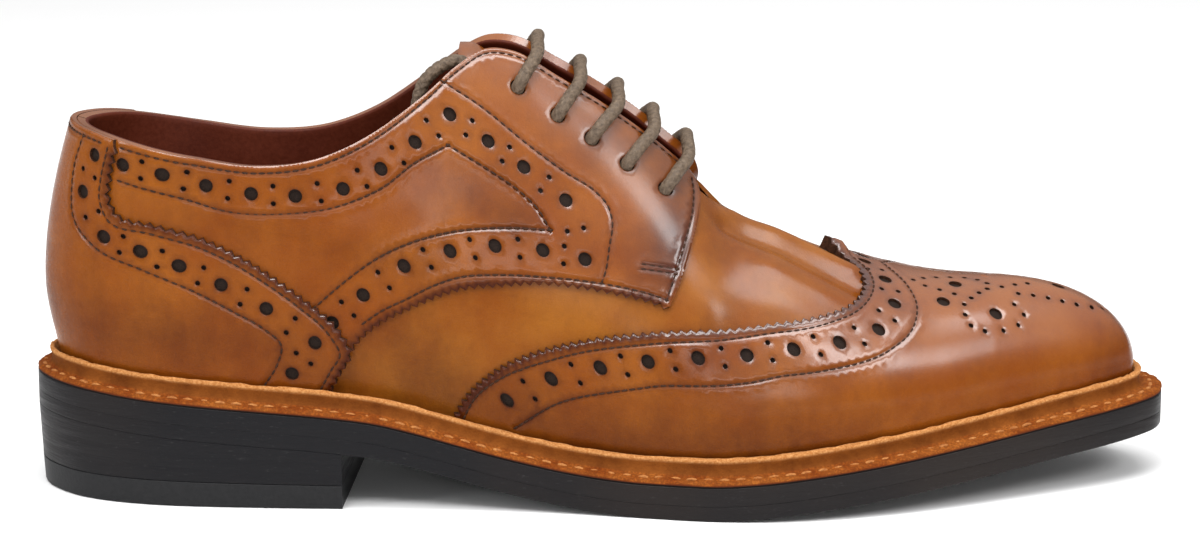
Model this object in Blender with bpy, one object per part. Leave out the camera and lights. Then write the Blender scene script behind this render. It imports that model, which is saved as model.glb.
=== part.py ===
"""A right brogue derby shoe, size about 43: welted sole, stacked heel, lasted upper with punched overlays.

The sizes below are millimetres in the last's own frame: x from the back of the sole to the toe, y to the
inner side of the foot, z up from the ground. The model is moved to its origin and scaled to metres as the
meshes are made: the origin is at the middle of the shoe's box, on the ground.
"""

import math

import bmesh
import bpy
import numpy as np

MM = 0.001
GAP = 0.3

# Sole plan: the outsole's edge, measured across from the centre line.
LENGTH = 305.0
TIP_ACROSS = 10.0
SOLE_PLAN = [
    # along, outer side, inner side
    (4, 12.6, 12.6),
    (15, 23.8, 23.8),
    (30, 30.0, 30.2),
    (60, 33.7, 33.9),
    (80, 34.6, 34.0),
    (100, 35.4, 32.0),
    (120, 36.6, 30.2),
    (140, 38.9, 30.8),
    (160, 42.8, 35.2),
    (180, 46.9, 43.2),
    (200, 47.6, 51.0),
    (215, 45.0, 54.6),
    (230, 40.4, 54.6),
    (245, 34.2, 51.4),
    (260, 27.0, 45.9),
    (275, 19.4, 40.5),
    (288, 12.6, 34.0),
    (297, 6.6, 27.4),
    (303, 0.0, 19.8),
]

# Side profile: the height of the outsole's underside. It is flat on the ground from 162 to 182.
UNDERSIDE = [
    # along, height
    (0, 22.0),
    (15, 20.9),
    (30, 19.4),
    (45, 18.1),
    (60, 17.0),
    (80, 15.4),
    (92, 13.9),
    (102, 11.6),
    (112, 8.9),
    (122, 6.2),
    (132, 3.9),
    (142, 2.0),
    (152, 0.7),
    (162, 0.0),
    (182, 0.0),
    (192, 0.7),
    (205, 2.0),
    (225, 4.1),
    (250, 7.0),
    (275, 10.0),
    (305, 13.4),
]

# Layers of the bottom, each as its height above the underside.
OUTSOLE_TOP = 3.9
MIDSOLE_TOP = 8.9
STRIP_TOP = 11.2
RIB_TOP = 15.6
INSOLE_TOP = 13.6
EDGE_ROUND = 0.7

# The storm welt's rib, and the room inside it for the overlays and for the swell of the upper.
WELT = [
    # along, rib in from the sole edge, rib thickness, room
    (0, 3.4, 1.4, 3.65),
    (45, 3.9, 1.6, 3.5),
    (80, 4.0, 1.7, 3.3),
    (110, 4.0, 1.8, 2.5),
    (150, 4.3, 1.9, 2.4),
    (200, 4.6, 2.0, 2.0),
    (262, 5.2, 2.0, 1.9),
    (305, 5.6, 2.0, 1.75),
]
WELT_CLEARANCE = 0.5
STRIP_UNDER_UPPER = 4.5
STRIP_SHORT = 0.3
INSOLE_CLEARANCE = 1.6

# The heel: two pieces under the outsole, cut off square at the breast.
BREAST_OUTER = 80.5
BREAST_INNER = 84.5
LIFT_BACK = 7.4
LIFT_SLOPE = 0.012
HEEL_TAPER = 1.1
STACK_DEPTH = 0.65
LIFT_BEVEL = 0.8

# The last's sections fan out from the heel centre and the toe centre, and lie straight across between them.
HEEL_CENTRE = 45.0
TOE_CENTRE = 256.0
CLOSED_FROM = 184.0
RIDGE_LINE = [
    # along, across
    (0, 0.0),
    (60, 0.0),
    (110, 0.0),
    (150, -0.6),
    (180, 1.2),
    (200, 4.0),
    (225, 6.8),
    (256, 8.8),
    (305, 8.8),
]
SWELL_SHARE = 0.32
SWELL_PULLS = (0.33, 0.62)
SECTIONS = [
    # along, swell outer, swell inner, height of the widest place, edge outer, edge inner,
    # edge height outer, edge height inner, side fullness, top fullness, slope at the edge
    (8, 3.3, 3.3, 23, 31.5, 31.5, 98.9, 98.9, 0.45, 0.40, 76),
    (22, 3.0, 3.0, 23, 29.0, 29.0, 97.6, 97.6, 0.45, 0.40, 76),
    (45, 2.1, 2.1, 22, 25.4, 25.6, 92.8, 93.2, 0.45, 0.40, 76),
    (62, 1.9, 2.1, 22, 25.2, 25.6, 90.4, 91.2, 0.45, 0.38, 74),
    (78, 1.9, 2.8, 22, 24.4, 25.0, 92.2, 92.6, 0.45, 0.36, 70),
    (92, 2.2, 4.0, 23, 22.0, 22.5, 98.2, 98.4, 0.45, 0.34, 62),
    (106, 2.3, 5.2, 23, 17.5, 18.0, 107.9, 108.4, 0.45, 0.32, 52),
    (114, 2.3, 5.6, 22, 12.5, 12.5, 114.4, 115.0, 0.45, 0.32, 45),
    (121, 2.3, 6.0, 22, 8.0, 7.6, 117.9, 119.0, 0.45, 0.32, 34),
    (128, 2.3, 6.0, 22, 6.4, 5.2, 117.2, 119.2, 0.45, 0.32, 30),
    (140, 2.3, 5.8, 20, 6.3, 4.7, 110.4, 113.2, 0.45, 0.34, 30),
    (155, 2.2, 5.2, 18, 6.3, 4.7, 101.0, 103.8, 0.45, 0.36, 28),
    (168, 1.9, 4.0, 16, 6.2, 4.6, 91.0, 93.8, 0.46, 0.38, 26),
    (176, 1.8, 3.2, 14.5, 5.2, 4.2, 83.2, 86.2, 0.47, 0.40, 20),
    (181, 1.7, 2.8, 14, 2.6, 2.6, 77.2, 78.0, 0.48, 0.44, 8),
    (184, 1.5, 2.4, 13, 0.0, 0.0, 74.2, 74.2, 0.48, 0.48, 0),
    (200, 1.2, 1.9, 12, 0.0, 0.0, 66.8, 66.8, 0.50, 0.52, 0),
    (220, 1.0, 1.4, 11, 0.0, 0.0, 58.4, 58.4, 0.52, 0.56, 0),
    (240, 0.9, 1.2, 9, 0.0, 0.0, 53.4, 53.4, 0.54, 0.58, 0),
    (256, 0.8, 1.0, 8, 0.0, 0.0, 52.0, 52.0, 0.55, 0.60, 0),
    (275, 0.7, 0.7, 7, 0.0, 0.0, 52.0, 52.0, 0.55, 0.60, 0),
    (297, 0.5, 0.5, 6, 0.0, 0.0, 52.0, 52.0, 0.55, 0.60, 0),
]

# Leather layers, each as its distance out from the outer face of the vamp.
UPPER_WALL = (-2.0, 0.0)
FIRST_LAYER = (0.3, 1.5)
SECOND_LAYER = (1.8, 3.0)
TONGUE_LAYER = (-4.8, -3.0)
OVERLAY_FOOT = 1.7
BACK_SEAM = 0.25

# Outlines of the overlays as they are seen from the side.
COUNTER_EDGE = [
    # along, height
    (30.0, 102.0),
    (25.8, 93.4),
    (24.2, 86.3),
    (23.5, 80.5),
    (25.1, 77.3),
    (35.3, 74.7),
    (48.2, 70.8),
    (58.2, 66.2),
    (66.6, 60.6),
    (73.5, 55.5),
    (83.3, 46.7),
    (85.8, 41.5),
    (83.3, 35.9),
    (76.0, 22.0),
    (-10.0, 22.0),
    (-10.0, 102.0),
]
QUARTER_EDGE = [
    # along, height
    (181.0, 130.0),
    (180.0, 84.0),
    (177.6, 78.0),
    (175.2, 68.8),
    (172.8, 61.0),
    (169.2, 53.9),
    (157.0, 57.3),
    (146.5, 58.9),
    (136.2, 60.0),
    (125.4, 59.2),
    (114.9, 58.4),
    (108.2, 56.4),
    (101.1, 53.3),
    (94.0, 49.8),
    (87.3, 43.6),
    (84.4, 38.1),
    (76.0, 22.0),
    (-10.0, 22.0),
    (-10.0, 130.0),
]
WING_EDGE = [
    # along, height
    (109.0, 18.0),
    (113.6, 24.9),
    (117.4, 30.4),
    (125.6, 37.3),
    (135.8, 42.1),
    (146.4, 45.0),
    (156.7, 46.5),
    (167.2, 47.7),
    (190.4, 48.0),
    (200.8, 48.6),
    (211.6, 49.8),
    (216.9, 50.9),
    (220.6, 52.6),
    (221.8, 54.6),
    (218.5, 58.0),
    (214.0, 61.0),
    (212.0, 80.0),
    (330.0, 80.0),
    (330.0, -10.0),
    (109.0, -10.0),
]

# Lacing: five holes in each facing, a straight bar across each pair, and one loose end at the collar.
EYELETS = [
    # along, distance from the facing's edge, how far the bar leans to the toe
    (129.7, 10.2, 4.0),
    (140.1, 11.6, 5.0),
    (149.0, 12.8, 6.0),
    (158.2, 14.0, 6.0),
    (168.2, 13.6, 4.5),
]
EYELET_RADIUS = 2.1
EYELET_SIDES = 10
CUTTER_DEPTH = 14.0
LACE_RADIUS = 1.82
BAR_CLEARANCE = 0.5
BAR_SHARES = (0.0, 0.3, 0.65, 1.0)
BAR_CROWN = (0.5, 0.0, 1.0)
LACE_END_START = [
    # along, distance from the facing's edge
    (129.0, 9.6),
    (125.0, 8.5),
]
LACE_END_DEPTH = -4.5
LACE_END_ROUTE = [
    # along, across, height
    (120.6, -8.2, 109.6),
    (117.4, -7.0, 113.0),
    (114.0, -7.4, 115.2),
    (110.6, -8.2, 114.3),
    (107.4, -9.0, 112.2),
    (105.1, -9.5, 109.6),
    (103.8, -10.0, 106.2),
    (103.3, -10.8, 101.0),
    (104.0, -12.0, 94.0),
]

# Tongue: it runs from under the vamp to a stitched corner above the facings.
TONGUE_TOP = 122.0
TONGUE_STATIONS = [TONGUE_TOP, 128.0, 135.0, 142.0, 150.0, 158.0, 166.0, 173.0, 178.0, 182.0, 190.0]
TONGUE_STANDS_OUT = 7.0
TONGUE_RISE = 2.2
TONGUE_PUSHED_IN = 5.2
TONGUE_PUSHED_FULL = 131.0
TONGUE_PUSHED_TO = 146.0
TONGUE_DIPS_FROM = 168.0
TONGUE_DIPS_FULL = 178.0
TONGUE_DIP = 1.6
TONGUE_REACH = (17.0, 12.5, 8.0, 3.5)

# Mesh density.
PLATE_STATIONS = 36
HEEL_STATIONS = 16
UPPER_STATIONS = 29
KEY_STATIONS = (122.0, 126.5, 177.0, CLOSED_FROM)
SWELL_ROWS = 3
SIDE_ROWS = 6
BAR_POINTS = 10
LACE_END_POINTS = 17

CUT_STEPS = 9
SLIVER = 0.03

OUTER, INNER = 0, 1
FAR = 1000.0


def table_curve(rows, column, along):
    """A smooth curve through one column of a table: cubic pieces whose slopes come from their neighbours."""
    keys = np.array([row[0] for row in rows], float)
    values = np.array([row[column] for row in rows], float)
    return smooth_curve(keys, values, np.clip(along, keys[0], keys[-1]))


def smooth_curve(keys, values, at):
    steps = np.diff(keys)
    slopes = np.diff(values) / steps
    middle = (steps[:-1] * slopes[1:] + steps[1:] * slopes[:-1]) / (steps[:-1] + steps[1:])
    bends = np.concatenate([slopes[:1], middle, slopes[-1:]])
    piece = np.clip(np.searchsorted(keys, at, side="right") - 1, 0, len(steps) - 1)
    t = (at - keys[piece]) / steps[piece]
    start, end = values[piece], values[piece + 1]
    pull_start, pull_end = steps[piece] * bends[piece], steps[piece] * bends[piece + 1]
    ends = (2 * t**3 - 3 * t**2 + 1) * start + (3 * t**2 - 2 * t**3) * end
    return ends + (t**3 - 2 * t**2 + t) * pull_start + (t**3 - t**2) * pull_end


def bezier(t, first, second, third, fourth):
    blend = (1 - t) ** 3 * first + 3 * t * (1 - t) ** 2 * second
    return blend + 3 * t * t * (1 - t) * third + t**3 * fourth


def turn_at(along):
    """The place round the sole for a distance along it: 0 at the back, 1 at the toe."""
    return math.acos(1 - 2 * along / LENGTH) / math.pi


def sole_outline(turn):
    """Plan points of the sole edge: turn 0 at the back, 1 at the toe by the outer side, 2 back again."""
    turns = [0.0] + [turn_at(row[0]) for row in SOLE_PLAN]
    turns += [1.0] + [2 - turn_at(row[0]) for row in reversed(SOLE_PLAN)]
    across = [0.0] + [-row[1] for row in SOLE_PLAN]
    across += [TIP_ACROSS] + [row[2] for row in reversed(SOLE_PLAN)]
    turns, across = np.array(turns), np.array(across)
    keys = np.concatenate([turns - 2, turns, turns + 2])
    values = np.tile(across, 3)
    along = LENGTH * (1 - np.cos(np.pi * turn)) / 2
    return np.stack([along, smooth_curve(keys, values, np.mod(turn, 2))], -1)


def sole_edge(turn, inward=0.0):
    """Points of the sole edge moved inward, square to it."""
    turn = np.asarray(turn, float)
    nudge = 1e-3
    run = sole_outline(turn + nudge) - sole_outline(turn - nudge)
    run /= np.linalg.norm(run, axis=-1, keepdims=True)
    square = np.stack([-run[..., 1], run[..., 0]], -1)
    return sole_outline(turn) + square * np.asarray(inward, float)[..., None]


def underside(along):
    return np.maximum(table_curve(UNDERSIDE, 1, along), 0)


def rib_foot(along):
    return table_curve(WELT, 1, along)


def rib_back(along):
    return rib_foot(along) + table_curve(WELT, 2, along)


def feather_inset(along):
    return rib_back(along) + table_curve(WELT, 3, along) + WELT_CLEARANCE


ROUND = np.linspace(0, 2, 1601)
FEATHER = sole_edge(ROUND, feather_inset(sole_outline(ROUND)[:, 0]))
FEATHER_BACK = FEATHER[:, 0].min()
FEATHER_TOE = FEATHER[:, 0].max()
TOE_AT = int(np.argmax(FEATHER[:, 0]))
FEATHER_SIDES = (FEATHER[: TOE_AT + 1], FEATHER[TOE_AT:][::-1])

PLATE_TURNS = np.linspace(0, 1, PLATE_STATIONS + 1)
PLAN = sole_edge(np.concatenate([PLATE_TURNS, 2 - PLATE_TURNS]))
ORIGIN = np.array([*(PLAN.min(0) + PLAN.max(0)) / 2, 0.0])


def station_for(along):
    """The section's station for a feather point that far along: 0 at the heel, 1 at the toe."""
    share = (along - FEATHER_BACK) / (FEATHER_TOE - FEATHER_BACK)
    return math.acos(1 - 2 * share) / math.pi


def last_point(station, side, girth):
    """A point of the vamp's outer face. Girth runs from 0 at the feather to 1 at the edge or the ridge."""
    station, girth = np.broadcast_arrays(np.asarray(station, float), np.asarray(girth, float))
    along = FEATHER_BACK + (FEATHER_TOE - FEATHER_BACK) * (1 - np.cos(np.pi * station)) / 2
    line = FEATHER_SIDES[side]
    foot = np.stack([along, np.interp(along, line[:, 0], line[:, 1])], -1)
    middle = np.clip(along, HEEL_CENTRE, TOE_CENTRE)
    centre = np.stack([middle, table_curve(RIDGE_LINE, 1, middle)], -1)
    outward = foot - centre
    reach = np.linalg.norm(outward, axis=-1)
    outward /= reach[..., None]
    column = [table_curve(SECTIONS, index, along) for index in range(1, 11)]
    swell, edge, edge_height = column[side], column[3 + side], column[5 + side]
    widest, side_full, top_full = column[2], column[7], column[8]
    closed = along >= CLOSED_FROM
    edge = np.where(closed, 0, np.maximum(edge, 0))
    slope = np.where(closed, 0, np.radians(column[9]))
    low = underside(along) + STRIP_TOP + GAP
    wide = reach + swell
    wide_height = low + widest
    t = np.clip(girth / SWELL_SHARE, 0, 1)
    swell_out = bezier(t, reach, reach, wide, wide)
    start_pull, end_pull = (low + share * widest for share in SWELL_PULLS)
    swell_up = bezier(t, low, start_pull, end_pull, wide_height)
    t = np.clip((girth - SWELL_SHARE) / (1 - SWELL_SHARE), 0, 1)
    rise = edge_height - wide_height
    shoulder = top_full * (wide - edge)
    side_out = bezier(t, wide, wide, edge + shoulder * np.cos(slope), edge)
    side_up = bezier(
        t, wide_height, wide_height + side_full * rise, edge_height - shoulder * np.sin(slope), edge_height
    )
    out = np.where(girth <= SWELL_SHARE, swell_out, side_out)
    up = np.where(girth <= SWELL_SHARE, swell_up, side_up)
    return np.concatenate([centre + outward * out[..., None], up[..., None]], -1)


def last_frame(station, side, girth):
    """A point of the vamp's outer face and the direction straight out of it."""
    nudge = 2e-3
    girth = np.clip(girth, nudge, 1 - nudge)
    station = np.clip(station, nudge, 1 - nudge)
    point = last_point(station, side, girth)
    along = last_point(station + nudge, side, girth) - last_point(station - nudge, side, girth)
    up = last_point(station, side, girth + nudge) - last_point(station, side, girth - nudge)
    out = np.cross(up, along) if side == OUTER else np.cross(along, up)
    return point, -out / np.linalg.norm(out, axis=-1, keepdims=True)


def below_edge(along, side, distance):
    """The girth at which a section lies that far down from its upper edge."""
    girths = np.linspace(0, 1, 401)
    line = last_point(np.full(401, station_for(along)), side, girths)
    lengths = np.concatenate([[0], np.cumsum(np.linalg.norm(np.diff(line, axis=0), axis=1))])
    return float(np.interp(lengths[-1] - distance, lengths, girths))


def finish(name, colour, roughness, coat=0.0):
    material = bpy.data.materials.new(name)
    material.use_nodes = True
    shader = material.node_tree.nodes["Principled BSDF"]
    shader.inputs["Base Color"].default_value = (*colour, 1)
    shader.inputs["Roughness"].default_value = roughness
    shader.inputs["Coat Weight"].default_value = coat
    return material


def add_object(name, vertices, faces, material, smooth=True):
    """Makes a mesh object from points in the last's frame, with doubled points made one."""
    mesh = bpy.data.meshes.new(name)
    points = (np.asarray(vertices, float) - ORIGIN) * MM
    mesh.from_pydata([tuple(point) for point in points], [], faces)
    shape = bmesh.new()
    shape.from_mesh(mesh)
    bmesh.ops.remove_doubles(shape, verts=shape.verts, dist=1e-6)
    bmesh.ops.dissolve_degenerate(shape, edges=shape.edges, dist=1e-6)
    bmesh.ops.recalc_face_normals(shape, faces=shape.faces)
    if shape.calc_volume(signed=True) < 0:
        bmesh.ops.reverse_faces(shape, faces=shape.faces)
    shape.to_mesh(mesh)
    shape.free()
    if smooth:
        mesh.shade_smooth()
        mesh.set_sharp_from_angle(angle=math.radians(35))
    mesh.materials.append(material)
    item = bpy.data.objects.new(name, mesh)
    bpy.context.scene.collection.objects.link(item)
    return item


def add_plate(name, profile, material, outer_turns, inner_turns):
    """A layer of the bottom. The profile is its edge from the bottom up: (inset, height function)."""
    vertices, faces = [], []
    size = 2 * len(profile)
    rows = profile + profile[::-1]
    for outer_turn, inner_turn in zip(outer_turns, inner_turns):
        for index, (inset, height) in enumerate(rows):
            turn = outer_turn if index < len(profile) else inner_turn
            x, y = sole_edge(turn, inset(sole_outline(turn)[0]))
            vertices.append((x, y, float(height(x))))
    count = len(outer_turns)
    for station in range(count - 1):
        for index in range(size):
            a, b = station * size + index, station * size + (index + 1) % size
            faces.append((a, b, b + size, a + size))
    faces.append(tuple(range(size)))
    faces.append(tuple((count - 1) * size + index for index in range(size)))
    return add_object(name, vertices, faces, material)


def above(distance):
    """The height that far above the underside of the outsole."""
    return lambda along: underside(along) + distance


def inset_by(distance):
    return lambda along: distance


def add_sole_layers(black, leather):
    outer, inner = PLATE_TURNS, 2 - PLATE_TURNS
    outsole = [
        (inset_by(EDGE_ROUND), above(0)),
        (inset_by(0), above(EDGE_ROUND)),
        (inset_by(0), above(OUTSOLE_TOP)),
    ]
    add_plate("outsole", outsole, black, outer, inner)
    midsole = [(inset_by(0), above(OUTSOLE_TOP + GAP)), (inset_by(0), above(MIDSOLE_TOP))]
    add_plate("midsole", midsole, black, outer, inner)

    def filler_edge(along):
        return rib_back(along) + STRIP_UNDER_UPPER + GAP

    def insole_edge(along):
        return feather_inset(along) - UPPER_WALL[0] + INSOLE_CLEARANCE

    insole = [
        (filler_edge, above(MIDSOLE_TOP + GAP)),
        (filler_edge, above(STRIP_TOP)),
        (insole_edge, above(STRIP_TOP)),
        (insole_edge, above(INSOLE_TOP)),
    ]
    add_plate("insole", insole, leather, outer, inner)


def add_heel(black):
    share = np.linspace(0, 1, HEEL_STATIONS + 1)
    outer = share * turn_at(BREAST_OUTER)
    inner = 2 - share * turn_at(BREAST_INNER)

    def taper(depth):
        return lambda along: HEEL_TAPER * depth * (1 - along / (2 * BREAST_INNER))

    def lift_top(along):
        return LIFT_BACK - LIFT_SLOPE * along

    stack = [
        (taper(STACK_DEPTH), lambda along: lift_top(along) + GAP),
        (taper(0.0), above(-GAP)),
    ]
    add_plate("heel_stack", stack, black, outer, inner)
    lift = [
        (lambda along: taper(1.0)(along) + LIFT_BEVEL, lambda along: 0.0),
        (taper(1.0), lambda along: LIFT_BEVEL),
        (taper(STACK_DEPTH), lift_top),
    ]
    add_plate("heel_top_lift", lift, black, outer, inner)


def add_welt(material):
    """A closed ring: the flat strip on the midsole, with the rib standing on it."""
    profile = [
        (inset_by(STRIP_SHORT), MIDSOLE_TOP + GAP),
        (inset_by(STRIP_SHORT), STRIP_TOP),
        (rib_foot, STRIP_TOP),
        (rib_foot, RIB_TOP),
        (rib_back, RIB_TOP),
        (rib_back, STRIP_TOP),
        (lambda along: rib_back(along) + STRIP_UNDER_UPPER, STRIP_TOP),
        (lambda along: rib_back(along) + STRIP_UNDER_UPPER, MIDSOLE_TOP + GAP),
    ]
    vertices, faces = [], []
    size = len(profile)
    count = 2 * PLATE_STATIONS
    for station in range(count):
        turn = station / PLATE_STATIONS
        along = sole_outline(turn)[0]
        for inset, height in profile:
            x, y = sole_edge(turn, inset(along))
            vertices.append((x, y, float(underside(x)) + height))
        ahead = (station + 1) % count * size
        for index in range(size):
            step = (index + 1) % size
            faces.append((station * size + index, station * size + step, ahead + step, ahead + index))
    return add_object("storm_welt", vertices, faces, material)


class LastGrid:
    """The vamp's outer face as one grid of points, shared by every leather panel."""

    def __init__(self):
        even = np.linspace(0, 1, UPPER_STATIONS + 1)
        stations = np.sort(np.append(even, [station_for(along) for along in KEY_STATIONS]))
        swell = np.linspace(0, SWELL_SHARE, SWELL_ROWS + 1)
        girths = np.concatenate([swell, np.linspace(SWELL_SHARE, 1, SIDE_ROWS + 1)[1:]])
        self.keys, points = {}, []
        self.triangles = []
        top = len(girths) - 1
        closed_from = station_for(CLOSED_FROM) - 1e-6
        pole_from = station_for(TOE_CENTRE)
        for side in (OUTER, INNER):
            for i, station in enumerate(stations):
                for j, girth in enumerate(girths):
                    key = (side, i, j)
                    if i in (0, len(stations) - 1):
                        key = (OUTER, i, j)
                    if j == top and station >= closed_from:
                        key = ("pole",) if station >= pole_from else ("ridge", i)
                    if key not in self.keys.values():
                        points.append(last_point(station, side, girth))
                    self.keys[side, i, j] = key
        names = list(dict.fromkeys(self.keys.values()))
        self.index = {key: number for number, key in enumerate(names)}
        self.points = np.array(points)
        for side in (OUTER, INNER):
            for i in range(len(stations) - 1):
                for j in range(top):
                    corners = [(i, j), (i + 1, j), (i + 1, j + 1), (i, j + 1)]
                    quad = [self.index[self.keys[side, *corner]] for corner in corners]
                    if side == INNER:
                        quad = [quad[1], quad[0], quad[3], quad[2]]
                    self.triangles.append((side, [quad[0], quad[1], quad[2]]))
                    self.triangles.append((side, [quad[0], quad[2], quad[3]]))
        self.normals = self.vertex_normals()

    def vertex_normals(self):
        normals = np.zeros_like(self.points)
        for _, corners in self.triangles:
            a, b, c = self.points[corners]
            for corner in corners:
                normals[corner] += np.cross(b - a, c - a)
        return normals / np.linalg.norm(normals, axis=1, keepdims=True)

    def panel(self, name, keep, layer, material):
        """The part of the last where keep(side, point) is positive, as a solid between two distances out."""
        faces, cuts = [], {}
        points, normals = list(self.points), list(self.normals)
        for side, corners in self.triangles:
            if len(set(corners)) < 3:
                continue
            signed = [keep(side, self.points[corner]) for corner in corners]
            ring = []
            for n, (corner, value) in enumerate(zip(corners, signed)):
                after, after_value = corners[n - 2], signed[n - 2]
                if value > 0:
                    ring.append(corner)
                if (value > 0) == (after_value > 0):
                    continue
                pair = (min(corner, after), max(corner, after))
                if pair not in cuts:
                    kept, cut = (corner, after) if value > 0 else (after, corner)
                    run = points[cut] - points[kept]
                    share = crossing(lambda t: keep(side, points[kept] + t * run))
                    cuts[pair] = len(points)
                    points.append(points[kept] + share * run)
                    out = normals[kept] + share * (normals[cut] - normals[kept])
                    normals.append(out / np.linalg.norm(out))
                ring.append(cuts[pair])
            if ring:
                faces.append(tuple(ring))
        return thick_panel(name, points, normals, faces, layer, material)


def crossing(signed):
    """The share of the way, from 0 inside to 1 outside, at which a signed distance turns negative."""
    low, high = 0.0, 1.0
    for _ in range(CUT_STEPS):
        middle = (low + high) / 2
        low, high = (middle, high) if signed(middle) > 0 else (low, middle)
    return min(max(low, SLIVER), 1 - SLIVER)


def thick_panel(name, points, normals, faces, layer, material):
    """Closes a surface into a solid: its two faces at the layer's distances, and walls round its edges."""
    used = sorted({corner for face in faces for corner in face})
    number = {corner: n for n, corner in enumerate(used)}
    base = np.array([points[corner] for corner in used])
    out = np.array([normals[corner] for corner in used])
    vertices = np.concatenate([base + out * layer[0], base + out * layer[1]])
    upper = [tuple(number[corner] + len(used) for corner in face) for face in faces]
    lower = [tuple(number[corner] for corner in reversed(face)) for face in faces]
    edges = {}
    for face in faces:
        for a, b in zip(face, face[1:] + face[:1]):
            edges[a, b] = True
    walls = []
    for a, b in edges:
        if (b, a) not in edges:
            a, b = number[a], number[b]
            walls.append((a, b, b + len(used), a + len(used)))
    return add_object(name, vertices, upper + lower + walls, material)


def inside_outline(outline, point):
    """Signed distance in the side view, positive inside the outline."""
    x, z = point[0], point[2]
    nearest, crossings = 1e9, 0
    for (ax, az), (bx, bz) in zip(outline, outline[1:] + outline[:1]):
        run, rise = bx - ax, bz - az
        share = ((x - ax) * run + (z - az) * rise) / (run * run + rise * rise)
        share = min(max(share, 0), 1)
        nearest = min(nearest, math.hypot(x - ax - share * run, z - az - share * rise))
        if (az > z) != (bz > z) and x < ax + (z - az) * run / rise:
            crossings += 1
    return nearest if crossings % 2 else -nearest


def over_welt(point):
    """How far a point lies above the foot of the overlays."""
    return point[2] - float(underside(point[0])) - STRIP_TOP - GAP - OVERLAY_FOOT


def add_leather(grid, tan, dark_tan):
    grid.panel("upper", lambda side, point: 1.0, UPPER_WALL, tan)
    for half, name in ((OUTER, "quarter_outer"), (INNER, "quarter_inner")):

        def keep(side, point, half=half):
            if point[0] < HEEL_CENTRE:
                own = (point[1] if half == INNER else -point[1]) - BACK_SEAM
            else:
                own = FAR if side == half else -FAR
            return min(own, inside_outline(QUARTER_EDGE, point), over_welt(point))

        grid.panel(name, keep, FIRST_LAYER, tan)
    grid.panel(
        "heel_counter",
        lambda side, point: min(inside_outline(COUNTER_EDGE, point), over_welt(point)),
        SECOND_LAYER,
        dark_tan,
    )
    grid.panel(
        "wing_cap",
        lambda side, point: min(inside_outline(WING_EDGE, point), over_welt(point)),
        FIRST_LAYER,
        dark_tan,
    )


def punch_eyelets():
    """Five round holes through each facing and the wall behind it."""
    for side, quarter in ((OUTER, "quarter_outer"), (INNER, "quarter_inner")):
        for number, (along, distance, _) in enumerate(EYELETS, 1):
            girth = below_edge(along, side, distance)
            point, out = last_frame(station_for(along), side, girth)
            bpy.ops.mesh.primitive_cylinder_add(
                vertices=EYELET_SIDES,
                radius=EYELET_RADIUS * MM,
                depth=CUTTER_DEPTH * MM,
                location=(point - ORIGIN) * MM,
            )
            cutter = bpy.context.object
            cutter.name = f"eyelet_cutter_{quarter}_{number}"
            across = np.array([0.0, 0.0, 1.0])
            turn_axis = np.cross(across, out)
            angle = math.acos(np.clip(out @ across, -1, 1))
            cutter.rotation_mode = "AXIS_ANGLE"
            cutter.rotation_axis_angle = (angle, *turn_axis / np.linalg.norm(turn_axis))
            cutter.hide_render = True
            cutter.display_type = "WIRE"
            for target in (quarter, "upper"):
                cut = bpy.data.objects[target].modifiers.new(f"eyelet_{quarter}_{number}", "BOOLEAN")
                cut.operation = "DIFFERENCE"
                cut.object = cutter


def add_tongue(grid, leather):
    """A curved flap under the facings, over the same last, that carries on above their top."""
    rows = []
    for along in TONGUE_STATIONS:
        pushed = float(np.interp(along, (TONGUE_PUSHED_FULL, TONGUE_PUSHED_TO), (TONGUE_PUSHED_IN, 0)))
        dip = float(np.interp(along, (TONGUE_DIPS_FROM, TONGUE_DIPS_FULL), (0, TONGUE_DIP)))
        points, outs = [], []
        for side in (OUTER, INNER):
            depth = dip + (pushed if side == OUTER else 0)
            for reach in (*TONGUE_REACH, 0.0):
                point, out = last_frame(station_for(along), side, below_edge(along, side, reach))
                points.append(point - out * depth)
                outs.append(out)
        half = len(points) // 2
        order = list(range(half)) + list(range(len(points) - 1, half - 1, -1))
        rows.append([(points[n], outs[n]) for n in order])
    back = [(p + (-TONGUE_STANDS_OUT, 0, TONGUE_RISE), out) for p, out in rows[0]]
    middle = [(p + (-TONGUE_STANDS_OUT / 2, 0, TONGUE_RISE), out) for p, out in rows[0]]
    rows = [back, middle] + rows
    width = len(rows[0])
    points = [p for row in rows for p, _ in row]
    normals = [out for row in rows for _, out in row]
    faces = []
    for i in range(len(rows) - 1):
        for j in range(width - 1):
            a = i * width + j
            faces.append((a, a + width, a + width + 1, a + 1))
    return thick_panel("tongue", points, normals, faces, TONGUE_LAYER, leather)


def add_tube(name, route, material, points):
    """A round cord along a smooth curve through the route."""
    route = np.asarray(route, float)
    lengths = np.concatenate([[0], np.cumsum(np.linalg.norm(np.diff(route, axis=0), axis=1))])
    at = np.linspace(0, lengths[-1], points)
    line = np.stack([smooth_curve(lengths, route[:, axis], at) for axis in range(3)], -1)
    curve = bpy.data.curves.new(name, "CURVE")
    curve.dimensions = "3D"
    curve.bevel_depth = LACE_RADIUS * MM
    curve.bevel_resolution = 2
    curve.use_fill_caps = True
    spline = curve.splines.new("POLY")
    spline.points.add(len(line) - 1)
    for point, place in zip(spline.points, (line - ORIGIN) * MM):
        point.co = (*place, 1)
    curve.materials.append(material)
    item = bpy.data.objects.new(name, curve)
    bpy.context.scene.collection.objects.link(item)
    return item


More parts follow.
